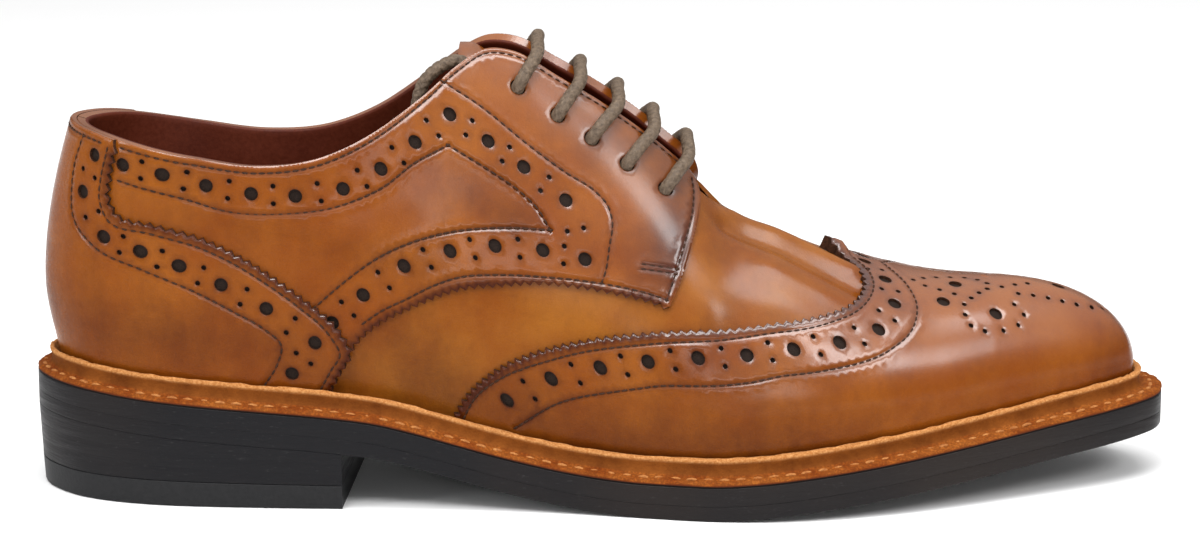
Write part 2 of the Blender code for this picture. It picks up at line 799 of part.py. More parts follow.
def bar_route(along, distance, lean):
    """A lace bar's route: up out of one facing, over the tongue and down to the other facing."""
    stand = FIRST_LAYER[1] + LACE_RADIUS + BAR_CLEARANCE
    route = []
    for side in (OUTER, INNER):
        leg = []
        for share in BAR_SHARES:
            place = along + lean * share
            girth = below_edge(place, side, distance * (1 - share))
            point, out = last_frame(station_for(place), side, girth)
            leg.append(point + out * stand)
        route += leg if side == OUTER else leg[::-1]
    half = len(BAR_SHARES)
    middle = (route[half - 1] + route[half]) / 2 + BAR_CROWN
    return route[:half] + [middle] + route[half:]


def lace_end_route():
    """The loose end: from inside the top hole, between facing and tongue, and over into the shoe."""
    route = []
    for along, distance in LACE_END_START:
        point, out = last_frame(station_for(along), OUTER, below_edge(along, OUTER, distance))
        route.append(point + out * LACE_END_DEPTH)
    return route + [np.array(point) for point in LACE_END_ROUTE]


def main():
    for item in list(bpy.data.objects):
        bpy.data.objects.remove(item)
    tan = finish("tan_leather", (0.42, 0.17, 0.045), 0.35, 0.3)
    dark_tan = finish("burnished_leather", (0.32, 0.11, 0.03), 0.32, 0.3)
    welt_tan = finish("welt_leather", (0.55, 0.30, 0.11), 0.7)
    lining = finish("lining_leather", (0.16, 0.04, 0.025), 0.6)
    black = finish("black_sole", (0.012, 0.012, 0.014), 0.4)
    cotton = finish("waxed_cotton", (0.13, 0.095, 0.065), 0.65)
    add_sole_layers(black, lining)
    add_heel(black)
    add_welt(welt_tan)
    grid = LastGrid()
    add_leather(grid, tan, dark_tan)
    punch_eyelets()
    add_tongue(grid, dark_tan)
    for number, eyelet in enumerate(EYELETS, 1):
        add_tube(f"lace_bar_{number}", bar_route(*eyelet), cotton, BAR_POINTS)
    add_tube("lace_end", lace_end_route(), cotton, LACE_END_POINTS)


main()
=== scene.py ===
"""Looks of a right brogue derby shoe: leather panels wrapped on the last, welt, sole, lining and laces.

Every leather panel is cut flat in millimetres, as a clicker cuts it, and then wrapped on the last that the
CAD frame was built on. Band patterns run round the shoe: distance along the feather from the back of the
heel, and girth up from the feather. Cap patterns run over the foot: distance along, and distance from the
ridge. Last frame: x to the toe, y to the inner side, z up, in millimetres.
"""

import logging
import math
from collections.abc import Callable
from dataclasses import dataclass, field
from enum import Enum
from functools import cache
from typing import NamedTuple

import bmesh
import bpy
import numpy as np
from mathutils import Matrix, Vector
from mathutils.geometry import delaunay_2d_cdt


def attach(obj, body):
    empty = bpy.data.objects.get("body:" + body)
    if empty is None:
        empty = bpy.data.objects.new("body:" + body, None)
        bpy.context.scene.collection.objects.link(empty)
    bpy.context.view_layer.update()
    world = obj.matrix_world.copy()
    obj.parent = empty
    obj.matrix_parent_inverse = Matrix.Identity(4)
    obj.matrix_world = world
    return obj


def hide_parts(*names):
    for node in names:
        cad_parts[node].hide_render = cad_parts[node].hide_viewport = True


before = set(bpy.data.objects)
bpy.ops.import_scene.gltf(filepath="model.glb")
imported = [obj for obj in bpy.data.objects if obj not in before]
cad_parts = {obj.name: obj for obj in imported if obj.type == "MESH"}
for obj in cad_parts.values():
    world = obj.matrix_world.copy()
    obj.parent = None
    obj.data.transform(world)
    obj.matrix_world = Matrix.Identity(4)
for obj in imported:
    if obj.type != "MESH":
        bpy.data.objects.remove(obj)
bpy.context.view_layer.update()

LOG = logging.getLogger("shoe")
MM = 0.001

Object = bpy.types.Object
Material = bpy.types.Material
Socket = bpy.types.NodeSocket
Curve = Callable[[np.ndarray], np.ndarray]
Profile = list[tuple[Curve, Curve]]

# Gap between the welt's strip and the upper.
GAP = 0.3

# Sole plan: the outsole's edge, measured across from the centre line.
LENGTH = 305.0
TIP_ACROSS = 10.0
SOLE_PLAN = [
    # along, outer side, inner side
    (4, 12.6, 12.6), (15, 23.8, 23.8), (30, 30.0, 30.2), (60, 33.7, 33.9), (80, 34.6, 34.0),
    (100, 35.4, 32.0), (120, 36.6, 30.2), (140, 38.9, 30.8), (160, 42.8, 35.2), (180, 46.9, 43.2),
    (200, 47.6, 51.0), (215, 45.0, 54.6), (230, 40.4, 54.6), (245, 34.2, 51.4), (260, 27.0, 45.9),
    (275, 19.4, 40.5), (288, 12.6, 34.0), (297, 6.6, 27.4), (303, 0.0, 19.8),
]

# Side profile: the height of the outsole's underside. It is flat on the ground from 162 to 182.
UNDERSIDE = [
    # along, height
    (0, 22.0), (15, 20.9), (30, 19.4), (45, 18.1), (60, 17.0), (80, 15.4), (92, 13.9), (102, 11.6),
    (112, 8.9), (122, 6.2), (132, 3.9), (142, 2.0), (152, 0.7), (162, 0.0), (182, 0.0), (192, 0.7),
    (205, 2.0), (225, 4.1), (250, 7.0), (275, 10.0), (305, 13.4),
]

# Layers of the bottom, each as its height above the underside.
OUTSOLE_TOP = 3.9
MIDSOLE_TOP = 8.9
STRIP_TOP = 11.2
RIB_TOP = 15.6

# The storm welt's rib, and the room inside it for the overlays and for the swell of the upper.
WELT = [
    # along, rib in from the sole edge, rib thickness, room
    (0, 3.4, 1.4, 3.65), (45, 3.9, 1.6, 3.5), (80, 4.0, 1.7, 3.3), (110, 4.0, 1.8, 2.5),
    (150, 4.3, 1.9, 2.4), (200, 4.6, 2.0, 2.0), (262, 5.2, 2.0, 1.9), (305, 5.6, 2.0, 1.75),
]
WELT_CLEARANCE = 0.5
STRIP_UNDER_UPPER = 4.5

# The heel: two pieces under the outsole, cut off square at the breast.
BREAST_OUTER = 80.5
BREAST_INNER = 84.5
LIFT_BACK = 7.4
LIFT_SLOPE = 0.012
HEEL_TAPER = 1.1
STACK_DEPTH = 0.65
LIFT_BEVEL = 0.8
HEEL_LIFTS = 3
LIFT_GROOVE = 0.03
LIFT_CORNER = 0.25
GAP_BELOW = 0.15
GAP_ABOVE = 0.05
BREAST_FORWARD = 3.0
HEEL_SEAT_END = 88
SHARP_ANGLE = math.radians(32)

# Layers of the sole: node, height of its lower and its upper edge, radius of each.
SOLE_LAYERS = [
    ("outsole", 0.0, OUTSOLE_TOP + 0.12, 0.5, 0.12),
    ("midsole", OUTSOLE_TOP + 0.15, MIDSOLE_TOP + 0.15, 0.12, 0.3),
]

# The last's sections fan out from the heel centre and the toe centre, and lie straight across between them.
HEEL_CENTRE = 45.0
TOE_CENTRE = 256.0
CLOSED_FROM = 184.0
RIDGE_LINE = [
    # along, across
    (0, 0.0), (60, 0.0), (110, 0.0), (150, -0.6), (180, 1.2), (200, 4.0), (225, 6.8), (256, 8.8),
    (305, 8.8),
]
SWELL_SHARE = 0.32
SWELL_PULLS = (0.33, 0.62)
SECTIONS = [
    # along, swell outer, swell inner, height of the widest place, edge outer, edge inner,
    # edge height outer, edge height inner, side fullness, top fullness, slope at the edge
    (8, 3.3, 3.3, 23, 31.5, 31.5, 98.9, 98.9, 0.45, 0.40, 76),
    (22, 3.0, 3.0, 23, 29.0, 29.0, 97.6, 97.6, 0.45, 0.40, 76),
    (45, 2.1, 2.1, 22, 25.4, 25.6, 92.8, 93.2, 0.45, 0.40, 76),
    (62, 1.9, 2.1, 22, 25.2, 25.6, 90.4, 91.2, 0.45, 0.38, 74),
    (78, 1.9, 2.8, 22, 24.4, 25.0, 92.2, 92.6, 0.45, 0.36, 70),
    (92, 2.2, 4.0, 23, 22.0, 22.5, 98.2, 98.4, 0.45, 0.34, 62),
    (106, 2.3, 5.2, 23, 17.5, 18.0, 107.9, 108.4, 0.45, 0.32, 52),
    (114, 2.3, 5.6, 22, 12.5, 12.5, 114.4, 115.0, 0.45, 0.32, 45),
    (121, 2.3, 6.0, 22, 8.0, 7.6, 117.9, 119.0, 0.45, 0.32, 34),
    (128, 2.3, 6.0, 22, 6.4, 5.2, 117.2, 119.2, 0.45, 0.32, 30),
    (140, 2.3, 5.8, 20, 6.3, 4.7, 110.4, 113.2, 0.45, 0.34, 30),
    (155, 2.2, 5.2, 18, 6.3, 4.7, 101.0, 103.8, 0.45, 0.36, 28),
    (168, 1.9, 4.0, 16, 6.2, 4.6, 91.0, 93.8, 0.46, 0.38, 26),
    (176, 1.8, 3.2, 14.5, 5.2, 4.2, 83.2, 86.2, 0.47, 0.40, 20),
    (181, 1.7, 2.8, 14, 2.6, 2.6, 77.2, 78.0, 0.48, 0.44, 8),
    (184, 1.5, 2.4, 13, 0.0, 0.0, 74.2, 74.2, 0.48, 0.48, 0),
    (200, 1.2, 1.9, 12, 0.0, 0.0, 66.8, 66.8, 0.50, 0.52, 0),
    (220, 1.0, 1.4, 11, 0.0, 0.0, 58.4, 58.4, 0.52, 0.56, 0),
    (240, 0.9, 1.2, 9, 0.0, 0.0, 53.4, 53.4, 0.54, 0.58, 0),
    (256, 0.8, 1.0, 8, 0.0, 0.0, 52.0, 52.0, 0.55, 0.60, 0),
    (275, 0.7, 0.7, 7, 0.0, 0.0, 52.0, 52.0, 0.55, 0.60, 0),
    (297, 0.5, 0.5, 6, 0.0, 0.0, 52.0, 52.0, 0.55, 0.60, 0),
]

EYELETS = [
    # along, distance from the facing's edge, how far the bar leans to the toe
    (129.7, 10.2, 4.0), (140.1, 11.6, 5.0), (149.0, 12.8, 6.0), (158.2, 14.0, 6.0), (168.2, 13.6, 4.5),
]
LACE_RADIUS = 1.82
LACE_END_START = [
    # along, distance from the facing's edge
    (129.0, 9.6), (125.0, 8.5),
]
LACE_END_DEPTH = -4.5
LACE_END_ROUTE = [
    # along, across, height
    (120.6, -8.2, 109.6), (117.4, -7.0, 113.0), (114.0, -7.4, 115.2), (110.6, -8.2, 114.3),
    (107.4, -9.0, 112.2), (105.1, -9.5, 109.6), (103.8, -10.0, 106.2), (103.3, -10.8, 101.0),
    (104.0, -12.0, 94.0),
]
# Tongue: it runs from under the vamp to a stitched corner above the facings.
TONGUE_TOP = 122.0
TONGUE_END = 190.0
TONGUE_STANDS_OUT = 7.0
TONGUE_RISE = 2.2
TONGUE_PUSHED_IN = 5.2
TONGUE_PUSHED_FULL = 131.0
TONGUE_PUSHED_TO = 146.0
TONGUE_DIPS_FROM = 168.0
TONGUE_DIPS_FULL = 178.0
TONGUE_DIP = 1.6
TONGUE_REACH = 17.0

# How a lace bar runs: share of the way from its hole to the middle, and height over the last.
LACE_LEG = [(-0.10, -4.2), (-0.05, -1.2), (0.02, 1.7), (0.14, 3.2), (0.45, 3.6), (0.8, 4.3)]

# Leather layers and their relief, in millimetres.
FIRST_LAYER_TOP = 1.5
SECOND_LAYER_TOP = 3.0
SEAM_GROOVE, SEAM_GROOVE_WIDTH = 0.20, 0.38
SEAM_SWELL, SEAM_SWELL_AT, SEAM_SWELL_WIDTH = 0.10, 1.3, 0.8
HOLE_LIP, HOLE_LIP_WIDTH = 0.16, 0.3
THREAD_SUNK = 0.02
LINING_DEPTH = -2.0

# How dark the burnishing is at edges, seams and holes, and how far it reaches.
EDGE_BURNISH_WIDTH, TURNED_WIDTH, TURNED_PALER = 1.5, 2.0, 0.22
SEAM_BURNISH, SEAM_BURNISH_WIDTH = 0.6, 0.5
HOLE_BURNISH, HOLE_BURNISH_WIDTH = 0.55, 0.45

# Room that the panels' free points leave beside rows and holes.
ROW_ROOM = 0.95
HOLE_ROOM = 0.75

PLATE_STATIONS = 36
TABLE_STATIONS = 361
TABLE_GIRTHS = 181


class Side(Enum):
    """A side of the shoe. The outer side faces the camera."""

    OUTER = 0
    INNER = 1


def smooth_curve(keys: np.ndarray, values: np.ndarray, at: np.ndarray) -> np.ndarray:
    """Reads a smooth curve through keyed values.

    Args:
        keys: Rising places of the values.
        values: The value at each key.
        at: Places to read.

    Returns:
        The curve's values: cubic pieces whose slopes come from their neighbours.
    """
    steps = np.diff(keys)
    slopes = np.diff(values) / steps
    middle = (steps[:-1] * slopes[1:] + steps[1:] * slopes[:-1]) / (steps[:-1] + steps[1:])
    bends = np.concatenate([slopes[:1], middle, slopes[-1:]])
    piece = np.clip(np.searchsorted(keys, at, side="right") - 1, 0, len(steps) - 1)
    t = (at - keys[piece]) / steps[piece]
    start, end = values[piece], values[piece + 1]
    pull_start, pull_end = steps[piece] * bends[piece], steps[piece] * bends[piece + 1]
    ends = (2 * t**3 - 3 * t**2 + 1) * start + (3 * t**2 - 2 * t**3) * end
    return ends + (t**3 - 2 * t**2 + t) * pull_start + (t**3 - t**2) * pull_end


def table_curve(rows: list[tuple], column: int, along: np.ndarray) -> np.ndarray:
    """Reads one column of a table as a smooth curve.

    Args:
        rows: The table, whose first column is the distance along.
        column: Index of the column to read.
        along: Distances along.

    Returns:
        The column's values there.
    """
    keys = np.array([row[0] for row in rows], float)
    values = np.array([row[column] for row in rows], float)
    return smooth_curve(keys, values, np.clip(along, keys[0], keys[-1]))


def bezier(t: np.ndarray, first: float, second: float, third: float, fourth: float) -> np.ndarray:
    """Blends four control values.

    Args:
        t: Shares of the way, from 0 to 1.
        first: Value at the start.
        second: Pull at the start.
        third: Pull at the end.
        fourth: Value at the end.

    Returns:
        The blended values.
    """
    blend = (1 - t) ** 3 * first + 3 * t * (1 - t) ** 2 * second
    return blend + 3 * t * t * (1 - t) * third + t**3 * fourth


def unit(vectors: np.ndarray) -> np.ndarray:
    """Scales vectors to a length of 1.

    Args:
        vectors: The vectors, along the last axis.

    Returns:
        Unit vectors.
    """
    return vectors / np.maximum(np.linalg.norm(vectors, axis=-1, keepdims=True), 1e-12)


def running_length(line: np.ndarray) -> np.ndarray:
    """Measures how far along a line each of its points lies.

    Args:
        line: The line's points.

    Returns:
        Distances from its start.
    """
    return np.concatenate([[0], np.cumsum(np.linalg.norm(np.diff(line, axis=0), axis=1))])


def circle(sides: int, radius: float = 1.0, start: float = 0.0) -> np.ndarray:
    """Spaces points round a circle.

    Args:
        sides: How many points.
        radius: The circle's radius.
        start: Angle of the first point.

    Returns:
        Flat points.
    """
    turn = np.linspace(0, 2 * np.pi, sides, endpoint=False) + start
    return np.stack([np.cos(turn), np.sin(turn)], -1) * radius


class SolePlan:
    """The bottom's plan and side profile, as the CAD frame has them."""

    def __init__(self) -> None:
        """Reads the plan table once, with its two turns of wrap-around."""
        turns = [0.0] + [self.turn_at(row[0]) for row in SOLE_PLAN]
        turns += [1.0] + [2 - self.turn_at(row[0]) for row in reversed(SOLE_PLAN)]
        across = [0.0] + [-row[1] for row in SOLE_PLAN]
        across += [TIP_ACROSS] + [row[2] for row in reversed(SOLE_PLAN)]
        ring = np.array(turns)
        self.keys = np.concatenate([ring - 2, ring, ring + 2])
        self.values = np.tile(np.array(across), 3)
        plate = np.linspace(0, 2, 2 * PLATE_STATIONS + 1)
        plan = self.edge(plate)
        self.origin = np.array([*(plan.min(0) + plan.max(0)) / 2, 0.0])

    @staticmethod
    def turn_at(along: float) -> float:
        """Finds the place round the sole for a distance along it.

        Args:
            along: Distance from the back of the sole.

        Returns:
            The turn: 0 at the back, 1 at the toe.
        """
        return math.acos(1 - 2 * along / LENGTH) / math.pi

    def outline(self, turn: np.ndarray) -> np.ndarray:
        """Reads plan points of the sole edge.

        Args:
            turn: Places round the sole: 0 at the back, 1 at the toe by the outer side, 2 back again.

        Returns:
            Points (x, y).
        """
        along = LENGTH * (1 - np.cos(np.pi * turn)) / 2
        return np.stack([along, smooth_curve(self.keys, self.values, np.mod(turn, 2))], -1)

    def edge(self, turn: np.ndarray, inward: np.ndarray | float = 0.0) -> np.ndarray:
        """Reads points of the sole edge moved inward, square to it.

        Args:
            turn: Places round the sole.
            inward: Distances inward.

        Returns:
            Points (x, y).
        """
        nudge = 1e-3
        run = unit(self.outline(turn + nudge) - self.outline(turn - nudge))
        square = np.stack([-run[..., 1], run[..., 0]], -1)
        return self.outline(turn) + square * np.asarray(inward, float)[..., None]

    @staticmethod
    def underside(along: np.ndarray) -> np.ndarray:
        """Reads the height of the outsole's underside.

        Args:
            along: Distances along.

        Returns:
            Heights above the ground.
        """
        return np.maximum(table_curve(UNDERSIDE, 1, along), 0)

    @staticmethod
    def rib(along: np.ndarray) -> tuple[np.ndarray, np.ndarray]:
        """Reads how far in from the sole edge the welt's rib starts and ends.

        Args:
            along: Distances along.

        Returns:
            Insets of its front and of its back.
        """
        foot = table_curve(WELT, 1, along)
        return foot, foot + table_curve(WELT, 2, along)

    def feather_inset(self, along: np.ndarray) -> np.ndarray:
        """Reads how far in the upper meets the welt.

        Args:
            along: Distances along.

        Returns:
            Insets from the sole edge.
        """
        return self.rib(along)[1] + table_curve(WELT, 3, along) + WELT_CLEARANCE


PLAN = SolePlan()


class Last:
    """The vamp's outer face, on which every leather layer lies at its own distance out."""

    def __init__(self, plan: SolePlan) -> None:
        """Tabulates the feather and the girths.

        Args:
            plan: The sole's plan.
        """
        self.plan = plan
        ring = np.linspace(0, 2, 1601)
        feather = plan.edge(ring, plan.feather_inset(plan.outline(ring)[:, 0]))
        self.back, self.toe = feather[:, 0].min(), feather[:, 0].max()
        tip = int(np.argmax(feather[:, 0]))
        self.sides = (feather[: tip + 1], feather[tip:][::-1])
        self.stations = np.linspace(0, 1, TABLE_STATIONS)
        girths = np.linspace(0, 1, TABLE_GIRTHS)
        self.total, self.girth_of, self.arc = [], [], []
        for side in Side:
            sheet = self.raw_point(side, self.stations[:, None], girths[None, :])
            steps = np.linalg.norm(np.diff(sheet, axis=1), axis=-1)
            lengths = np.concatenate([np.zeros((TABLE_STATIONS, 1)), np.cumsum(steps, axis=1)], axis=1)
            self.total.append(lengths[:, -1])
            even = [np.interp(girths * line[-1], line, girths) for line in lengths]
            self.girth_of.append(np.array(even))
            self.arc.append(running_length(sheet[:, 0]))

    def along(self, station: np.ndarray) -> np.ndarray:
        """Gives the feather's distance along for a station.

        Args:
            station: Stations, 0 at the heel and 1 at the toe.

        Returns:
            Distances along.
        """
        return self.back + (self.toe - self.back) * (1 - np.cos(np.pi * station)) / 2

    def station(self, along: np.ndarray) -> np.ndarray:
        """Gives the station for a feather point that far along.

        Args:
            along: Distances along.

        Returns:
            Stations.
        """
        share = np.clip((along - self.back) / (self.toe - self.back), 0, 1)
        return np.arccos(1 - 2 * share) / np.pi

    def foot(self, side: Side, along: np.ndarray) -> tuple[np.ndarray, np.ndarray]:
        """Gives a section's foot and the centre that it starts from, in plan.

        Args:
            side: The side.
            along: Distances along of the feather points.

        Returns:
            Feather points and section centres.
        """
        line = self.sides[side.value]
        foot = np.stack([along, np.interp(along, line[:, 0], line[:, 1])], -1)
        middle = np.clip(along, HEEL_CENTRE, TOE_CENTRE)
        return foot, np.stack([middle, table_curve(RIDGE_LINE, 1, middle)], -1)

    def raw_point(self, side: Side, station: np.ndarray, girth: np.ndarray) -> np.ndarray:
        """Gives points of the vamp's outer face.

        Args:
            side: The side.
            station: Stations, 0 at the heel and 1 at the toe.
            girth: 0 at the feather, 1 at the edge or the ridge.

        Returns:
            Points (x, y, z).
        """
        station, girth = np.broadcast_arrays(np.asarray(station, float), np.asarray(girth, float))
        along = self.along(station)
        foot, centre = self.foot(side, along)
        outward = foot - centre
        reach = np.linalg.norm(outward, axis=-1)
        outward = outward / reach[..., None]
        column = [table_curve(SECTIONS, index, along) for index in range(1, 11)]
        swell, edge, edge_height = column[side.value], column[3 + side.value], column[5 + side.value]
        widest, side_full, top_full = column[2], column[7], column[8]
        closed = along >= CLOSED_FROM
        edge = np.where(closed, 0, np.maximum(edge, 0))
        slope = np.where(closed, 0, np.radians(column[9]))
        low = self.plan.underside(along) + STRIP_TOP + GAP
        wide = reach + swell
        wide_height = low + widest
        t = np.clip(girth / SWELL_SHARE, 0, 1)
        start_pull, end_pull = (low + share * widest for share in SWELL_PULLS)
        swell_out = bezier(t, reach, reach, wide, wide)
        swell_up = bezier(t, low, start_pull, end_pull, wide_height)
        t = np.clip((girth - SWELL_SHARE) / (1 - SWELL_SHARE), 0, 1)
        rise = edge_height - wide_height
        shoulder = top_full * (wide - edge)
        side_out = bezier(t, wide, wide, edge + shoulder * np.cos(slope), edge)
        rise_from, rise_to = wide_height + side_full * rise, edge_height - shoulder * np.sin(slope)
        side_up = bezier(t, wide_height, rise_from, rise_to, edge_height)
        out = np.where(girth <= SWELL_SHARE, swell_out, side_out)
        up = np.where(girth <= SWELL_SHARE, swell_up, side_up)
        return np.concatenate([centre + outward * out[..., None], up[..., None]], -1)

    def raw_normal(self, side: Side, station: np.ndarray, girth: np.ndarray) -> np.ndarray:
        """Gives directions straight out of the vamp's outer face.

        Args:
            side: The side.
            station: Stations.
            girth: Girths.

        Returns:
            Unit directions.
        """
        nudge = 2e-3
        girth = np.clip(girth, nudge, np.where(self.along(station) < CLOSED_FROM, 0.95, 1 - nudge))
        station = np.clip(station, nudge, 1 - nudge)
        ahead = self.raw_point(side, station + nudge, girth) - self.raw_point(side, station - nudge, girth)
        up = self.raw_point(side, station, girth + nudge) - self.raw_point(side, station, girth - nudge)
        return unit(np.cross(ahead, up) if side is Side.OUTER else np.cross(up, ahead))

    def girth(self, side: Side, station: np.ndarray, share: np.ndarray) -> np.ndarray:
        """Turns a share of a section's length into its girth.

        Args:
            side: The side.
            station: Stations.
            share: Shares of the length, 0 at the feather.

        Returns:
            Girths.
        """
        table = self.girth_of[side.value]
        row = np.clip(station, 0, 1) * (TABLE_STATIONS - 1)
        column = np.clip(share, 0, 1) * (TABLE_GIRTHS - 1)
        i = np.minimum(row.astype(int), TABLE_STATIONS - 2)
        j = np.minimum(column.astype(int), TABLE_GIRTHS - 2)
        a, b = row - i, column - j
        low = (1 - b) * table[i, j] + b * table[i, j + 1]
        high = (1 - b) * table[i + 1, j] + b * table[i + 1, j + 1]
        return (1 - a) * low + a * high

    def length(self, side: Side, station: np.ndarray) -> np.ndarray:
        """Gives a section's whole length from feather to edge.

        Args:
            side: The side.
            station: Stations.

        Returns:
            Lengths.
        """
        return np.interp(station, self.stations, self.total[side.value])

    def gape(self, side: Side, station: np.ndarray) -> np.ndarray:
        """Gives how far a section's edge stops short of the cap pattern's straight ridge.

        Args:
            side: The side.
            station: Stations.

        Returns:
            Distances, 0 where the pattern reaches the ridge.
        """
        along = self.along(station)
        near, far = (self.length(side, self.station(np.array(place))) for place in (190.0, 200.0))
        straight = near + (near - far) / 10 * (190 - along)
        return np.where(along < 190, straight - self.length(side, station), 0)

    def wrap(self, side: Side, station: np.ndarray, share: np.ndarray, lift: np.ndarray) -> np.ndarray:
        """Gives points at a distance out from the last.

        Args:
            side: The side.
            station: Stations.
            share: Shares of the section's length.
            lift: Distances out.

        Returns:
            Points (x, y, z).
        """
        girth = self.girth(side, station, share)
        out = self.raw_normal(side, station, girth)
        return self.raw_point(side, station, girth) + out * np.asarray(lift, float)[..., None]


@dataclass
class BandPattern:
    """A flat pattern that runs round the shoe: (distance along the feather, girth up from it).

    The outer side counts backwards from the back of the heel, the inner side forwards.
    """

    last: Last

    def wrap(self, flat: np.ndarray, lift: np.ndarray | float) -> np.ndarray:
        """Wraps flat points on the last.

        Args:
            flat: Points of the pattern.
            lift: Distances out.

        Returns:
            Points (x, y, z).
        """
        lift = np.broadcast_to(np.asarray(lift, float), len(flat))
        out = np.zeros((len(flat), 3))
        for side in Side:
            own = (flat[:, 0] > 0) == (side is Side.INNER)
            arc = self.last.arc[side.value]
            station = np.interp(np.abs(flat[own, 0]), arc, self.last.stations)
            share = flat[own, 1] / self.last.length(side, station)
            out[own] = self.last.wrap(side, station, share, lift[own])
        return out

    def place(self, side: Side, rows: list[tuple[float, float]]) -> np.ndarray:
        """Moves points of the outer side's pattern to the like places of a side.

        Args:
            side: The side.
            rows: Points (along the feather, girth) as measured on the outer side.

        Returns:
            Points of this pattern.
        """
        flat = np.array(rows, float)
        station = np.interp(flat[:, 0], self.last.arc[0], self.last.stations)
        share = flat[:, 1] / self.last.length(Side.OUTER, station)
        along = np.interp(station, self.last.stations, self.last.arc[side.value])
        sign = -1 if side is Side.OUTER else 1
        return np.stack([sign * along, share * self.last.length(side, station)], -1)

    def eyelets(self, side: Side) -> np.ndarray:
        """Finds the eyelets.

        Args:
            side: The side.

        Returns:
            Their middles on this pattern.
        """
        along, distance = np.array(EYELETS)[:, :2].T
        station = self.last.station(along)
        arc = np.interp(station, self.last.stations, self.last.arc[side.value])
        sign = -1 if side is Side.OUTER else 1
        return np.stack([sign * arc, self.last.length(side, station) - distance], -1)

    def top(self, side: Side, start: float, end: float, drop: float = 0.0, step: float = 1.5) -> np.ndarray:
        """Runs along the upper edge.

        Args:
            side: The side.
            start: Where it starts, as measured along the outer feather.
            end: Where it ends.
            drop: Distance below the edge.
            step: Spacing.

        Returns:
            Points of this pattern.
        """
        along = np.linspace(start, end, max(2, int(abs(end - start) / step)))
        station = np.interp(along, self.last.arc[0], self.last.stations)
        line = self.place(side, [(value, 1.0) for value in along])
        line[:, 1] = self.last.length(side, station) - drop
        return line


@dataclass
class CapPattern:
    """A flat pattern over the foot: (distance along, distance from the ridge), the outer side negative."""

    last: Last

    def fan(self, side: Side) -> tuple[np.ndarray, np.ndarray]:
        """Tabulates the directions of the sections round the toe.

        Args:
            side: The side.

        Returns:
            Angles from straight ahead, and their stations.
        """
        first = self.last.station(np.array(TOE_CENTRE + 1e-6))
        station = np.append(first, self.last.stations[self.last.stations > first + 1e-6])
        foot, centre = self.last.foot(side, self.last.along(station))
        run = foot - centre
        return np.arctan2(run[:, 1], run[:, 0]), station

    def wrap(self, flat: np.ndarray, lift: np.ndarray | float) -> np.ndarray:
        """Wraps flat points on the last.

        Args:
            flat: Points of the pattern.
            lift: Distances out.

        Returns:
            Points (x, y, z).
        """
        lift = np.broadcast_to(np.asarray(lift, float), len(flat))
        out = np.zeros((len(flat), 3))
        tip = self.fan(Side.OUTER)[0][-1]
        ahead = flat - (TOE_CENTRE, 0.0)
        angle = np.arctan2(ahead[:, 1], np.maximum(ahead[:, 0], 0))
        for side in Side:
            own = (angle > tip) == (side is Side.INNER)
            straight = ahead[own, 0] <= 0
            turns, stations = self.fan(side)
            order = np.argsort(turns)
            turned = np.interp(angle[own], turns[order], stations[order])
            station = np.where(straight, self.last.station(flat[own, 0]), turned)
            reach = np.where(straight, np.abs(flat[own, 1]), np.linalg.norm(ahead[own], axis=1))
            share = 1 - (reach - self.last.gape(side, station)) / self.last.length(side, station)
            out[own] = self.last.wrap(side, station, share, lift[own])
        return out

    def place(self, side: Side, rows: list[tuple[float, float]]) -> np.ndarray:
        """Moves points of the outer side's pattern to the like places of a side.

        Args:
            side: The side.
            rows: Points (along, distance from the ridge) as measured on the outer side.

        Returns:
            Points of this pattern.
        """
        flat = np.array(rows, float)
        if side is Side.OUTER:
            return flat
        station = self.last.station(np.minimum(flat[:, 0], TOE_CENTRE))
        own = self.last.length(side, station) + self.last.gape(side, station)
        ratio = own / (self.last.length(Side.OUTER, station) + self.last.gape(Side.OUTER, station))
        return np.stack([flat[:, 0], -flat[:, 1] * ratio], -1)

    def foot_line(self, side: Side, start: float, rise: float, step: float = 1.5) -> np.ndarray:
        """Runs along the feather from a distance along to the tip of the toe.

        Args:
            side: The side.
            start: Distance along where it starts.
            rise: Girth above the feather.
            step: Spacing.

        Returns:
            Points of this pattern.
        """
        first = float(self.last.station(np.array(start)))
        station = np.linspace(first, 1, int((LENGTH - start) / step))
        foot, centre = self.last.foot(side, self.last.along(station))
        run = unit(foot - centre)
        reach = self.last.length(side, station) + self.last.gape(side, station) - rise
        centre[:, 1] = 0.0
        return centre + run * reach[:, None]


def polyline_distance(points: np.ndarray, line: np.ndarray, closed: bool = False) -> np.ndarray:
    """Measures how far points lie from a line of segments.

    Args:
        points: Flat points.
        line: The line's corners.
        closed: Whether the last corner joins the first.

    Returns:
        One distance for each point.
    """
    ends = np.roll(line, -1, axis=0) if closed else line[1:]
    starts = line if closed else line[:-1]
    nearest = np.full(len(points), np.inf)
    for start, end in zip(starts, ends):
        run = end - start
        share = np.clip(((points - start) @ run) / max(run @ run, 1e-12), 0, 1)
        gap = points - start - share[:, None] * run
        nearest = np.minimum(nearest, np.einsum("ij,ij->i", gap, gap))
    return np.sqrt(nearest)


def inside(points: np.ndarray, outline: np.ndarray) -> np.ndarray:
    """Tells which points lie inside an outline.

    Args:
        points: Flat points.
        outline: The outline's corners.

    Returns:
        One truth value for each point.
    """
    within = np.zeros(len(points), bool)
    for start, end in zip(outline, np.roll(outline, -1, axis=0)):
        crosses = (start[1] > points[:, 1]) != (end[1] > points[:, 1])
        if abs(end[1] - start[1]) > 1e-12:
            at = start[0] + (points[:, 1] - start[1]) * (end[0] - start[0]) / (end[1] - start[1])
            within ^= crosses & (points[:, 0] < at)
    return within


